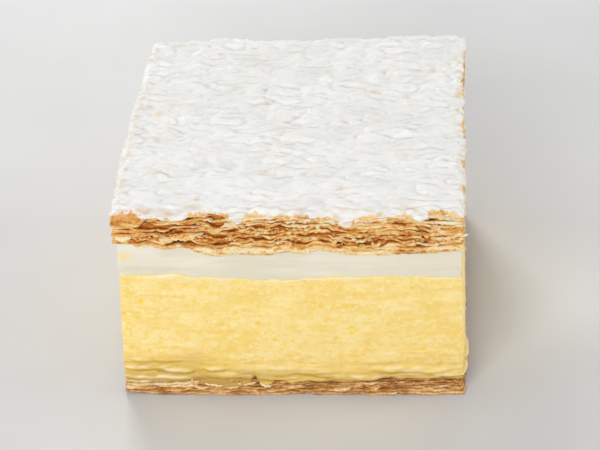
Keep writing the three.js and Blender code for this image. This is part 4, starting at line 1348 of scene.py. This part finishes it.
def make_flakes():
    rng = np.random.default_rng(77)
    n = len(U_LEAF)

    def on_edge(i, out):
        k = 1 + out / HALF
        x, y = plan(U_LEAF[i] * k, V_LEAF[i] * k)
        return float(x), float(y)

    # thin flakes peeling from the leaves' edges
    bits = Bits()
    for _ in range(150):
        i, j = int(rng.integers(0, n)), int(rng.integers(0, LEAVES))
        along, out = facing(U_LEAF[i], V_LEAF[i])
        x, y = on_edge(i, EDGE[j, i] - rng.uniform(0.7, 1.1))
        z = UNDER[j, i] + THICK[j, i] * rng.uniform(0.0, 1.0)
        reach = min(rng.uniform(0.7, 1.5), 1.0 - EDGE[j, i])
        bits.add(*flake(rng, np.array([x, y, z]), along, out, rng.uniform(0.6, 2.4), reach, rng.uniform(0.12, 0.22), rng.uniform(-0.22, 0.2), rng.uniform(-0.16, 0.14)), bake=rng.uniform(0.5, 0.98), dust=0.6 if j > 6 and rng.random() < 0.4 else 0.0)
    # the broad pale flakes folded over the lower edge of the lid, left of the middle of the front
    for x, z, size, reach, thick, tilt, curl, bake in (
        (-23.3, 43.5, 2.9, 1.4, 0.4, -0.42, -0.25, 0.8),
        (-26.6, 42.7, 1.9, 1.2, 0.35, -0.35, -0.2, 0.74),
        (-36.5, 43.2, 2.0, 1.2, 0.35, -0.3, -0.2, 0.9),
    ):
        bits.add(*flake(rng, np.array([x, -37.1, z]), *facing(0, -1), size, reach, thick, tilt, curl), bake=bake)
    bits.build("lid_flakes")

    # crumbs clinging to the leaves' edges
    bits = Bits()
    for _ in range(520):
        i, j = int(rng.integers(0, n)), int(rng.integers(0, LEAVES))
        size = rng.choice([0.16, 0.24, 0.36], p=[0.5, 0.36, 0.14]) * rng.uniform(0.8, 1.25)
        x, y = on_edge(i, EDGE[j, i] - size * 0.45)
        z = UNDER[j, i] + THICK[j, i] * rng.uniform(0.1, 1.0)
        pts, tris = lump(rng, np.array([x, y, z]), size, rng.uniform(0.45, 0.9))
        bits.add(pts, tris=tris, bake=rng.uniform(0.4, 1.0), dust=0.8 if j > 5 and rng.random() < 0.35 else 0.0)
    made = 0
    while made < 380:
        centre, height, half, tall = CRUMBLY[int(rng.integers(0, len(CRUMBLY)))]
        s, z = centre + half * rng.normal() * 0.5, height + tall * rng.normal() * 0.5
        i = int(np.argmin(np.abs(apart(S_LEAF, s))))
        j = int(np.argmin(np.abs(UNDER[:, i] + THICK[:, i] / 2 - z)))
        if z > rim_height(*plan(U_LEAF[i], V_LEAF[i])) - 1.2 or z < UNDER[0, i]:
            continue
        size = rng.choice([0.16, 0.26, 0.4], p=[0.4, 0.4, 0.2]) * rng.uniform(0.8, 1.25)
        x, y = on_edge(i, EDGE[j, i] - size * rng.uniform(0.1, 0.6))
        pts, tris = lump(rng, np.array([x, y, z]), size, rng.uniform(0.45, 0.9))
        bits.add(pts, tris=tris, bake=rng.uniform(0.3, 0.9))
        made += 1
    bits.build("lid_crumbs")

    # shreds and crumbs stuck to the foot of the custard and, fewer, to the cream
    bits = Bits()
    # distance round, height, half length, reach, tilt, bake, slope along
    shreds = [
        (20.3, 3.2, 2.5, 0.95, -0.45, 0.95, -0.2),
        (32.2, 3.1, 1.4, 0.95, -0.4, 1.0, -0.6),
        (24.2, 2.6, 2.3, 0.85, -0.4, 0.85, -0.04),
        (17.4, 2.2, 1.6, 0.85, -0.3, 0.75, -0.1),
        (28.5, 3.2, 1.6, 0.85, -0.2, 0.7, 0.1),
        (38.5, 2.0, 2.4, 0.85, -0.3, 0.7, 0.08),
    ]
    place = 50.0
    while place < ROUND - 3:
        shreds.append((place, rng.uniform(1.4, 4.2), rng.uniform(0.8, 2.8), rng.uniform(0.75, 1.0), rng.uniform(-0.6, 0.1), rng.uniform(0.5, 0.9), rng.uniform(-0.2, 0.2)))
        place += rng.uniform(5, 14)
    for s, z, size, reach, tilt, bake, slope in shreds:
        u, v = at_round(s)
        along, out = facing(u, v)
        along = along + np.array([0, 0, slope])
        x0, y0 = plan(np.array(u), np.array(v))
        k = 1 + (float(foot_line(x0, y0, np.array(s))) - 0.65) / HALF
        x, y = plan(np.array(u * k), np.array(v * k))
        bits.add(*flake(rng, np.array([float(x), float(y), z]), along, out, size, reach, 0.2, tilt, rng.uniform(-0.3, 0.1)), bake=bake)
    for s, z, size, tall in ((15.7, 3.9, 0.32, 2.4), (26.5, 3.2, 0.4, 0.7), (98, 3.8, 0.4, 1.8), (187, 4.0, 0.5, 1.2), (262, 3.6, 0.4, 2.0)):
        u, v = at_round(s)
        x0, y0 = plan(np.array(u), np.array(v))
        k = 1 + (float(foot_line(x0, y0, np.array(s))) - 0.05) / HALF
        x, y = plan(np.array(u * k), np.array(v * k))
        pts, tris = lump(rng, np.array([float(x), float(y), z]), size, tall)
        bits.add(pts, tris=tris, bake=0.9)
    for _ in range(150):
        u, v = at_round(rng.uniform(0, ROUND))
        size = rng.choice([0.14, 0.22, 0.34], p=[0.5, 0.38, 0.12])
        if rng.random() < 0.8:
            k, z = 1 - rng.uniform(0.2, 0.45) / HALF, rng.uniform(0.6, 5.5)
        else:
            k, z = 1 - 0.8 / HALF, rng.uniform(33.5, 38.0)
        x, y = plan(np.array(u * k), np.array(v * k))
        pts, tris = lump(rng, np.array([float(x), float(y), z]), size, rng.uniform(0.4, 0.9))
        bake = rng.uniform(0.55, 1.0)
        if z < 30 or v > -1:  # none on the cream at the front
            bits.add(pts, tris=tris, bake=bake)
    bits.build("crumbs_on_cut", BASE, "pressed_pastry")


make_base()
make_custard()
make_cream()
make_leaves()
make_core()
make_crust()
make_flakes()


# ---- stage, light and camera ----------------------------------------------------------------
def stage():
    n = Nodes("pale_floor")
    grain = n.noise(25, 2.0)
    body = n.ramp(grain, [(0.3, (0.61, 0.615, 0.62)), (0.7, (0.64, 0.645, 0.65))])
    n.finish(body, 0.6, None, specular=0.2)
    me = bpy.data.meshes.new("floor")
    s = 3.0
    me.from_pydata([(-s, -s, 0), (s, -s, 0), (s, s, 0), (-s, s, 0)], [], [(0, 1, 2, 3)])
    me.materials.append(n.mat)
    ob = bpy.data.objects.new("floor", me)
    ob.location.z = -0.00005
    bpy.context.scene.collection.objects.link(ob)


def area(name, at, target, size, power, colour=(1, 1, 1)):
    data = bpy.data.lights.new(name, "AREA")
    data.shape = "RECTANGLE"
    data.size, data.size_y = size
    data.energy = power
    data.color = colour
    ob = bpy.data.objects.new(name, data)
    ob.location = at
    ob.rotation_euler = (Vector(target) - Vector(at)).to_track_quat("-Z", "Y").to_euler()
    bpy.context.scene.collection.objects.link(ob)


def light():
    area("key_softbox", (-0.17, 0.5, 0.33), (0, 0, 0.04), (0.2, 0.2), 1.75, (1.0, 0.988, 0.97))
    area("front_soft", (-0.14, -0.64, 0.42), (0, 0, 0.025), (0.42, 0.3), 3.7, (1.0, 0.99, 0.98))
    area("left_fill", (-0.68, -0.02, 0.2), (0, 0, 0.025), (0.35, 0.26), 1.05)
    area("right_fill", (0.68, 0.02, 0.2), (0, 0, 0.025), (0.35, 0.26), 2.05)
    area("back_fill", (0.1, 0.72, 0.24), (0, 0, 0.025), (0.4, 0.3), 0.75)
    world = bpy.data.worlds.new("studio")
    bpy.context.scene.world = world
    world.use_nodes = True
    bg = world.node_tree.nodes["Background"]
    bg.inputs[0].default_value = (1.0, 1.0, 1.0, 1)
    bg.inputs[1].default_value = 0.32


def camera():
    """The photograph's camera: where its perspective puts it, 33.5 degrees above the slice, level with the right-hand cut."""
    pitch = math.radians(33.5)
    forward = Vector((0, math.cos(pitch), -math.sin(pitch)))
    data = bpy.data.cameras.new("camera")
    data.sensor_width = 36.0
    data.lens = 1598.0 / 600.0 * 36.0
    ob = bpy.data.objects.new("camera", data)
    ob.rotation_mode = "QUATERNION"
    ob.location = (0.03998, -0.4741 + SHIFT * 0.001, 0.3359)
    turn = Matrix.Rotation(math.pi / 2 - pitch, 4, "X").to_quaternion()
    if not PHOTO_FRAMING:
        look = (Vector((0.0, -0.004, 0.0235)) - ob.location).normalized()
        turn = forward.rotation_difference(look) @ turn
        data.lens *= 1.5
    ob.rotation_quaternion = turn
    data.clip_start, data.clip_end = 0.01, 20
    bpy.context.scene.collection.objects.link(ob)
    bpy.context.scene.camera = ob


stage()
light()
camera()
view = bpy.context.scene.view_settings
view.view_transform = "Standard"
view.look = "None"
view.exposure = 0.0
view.gamma = 1.0
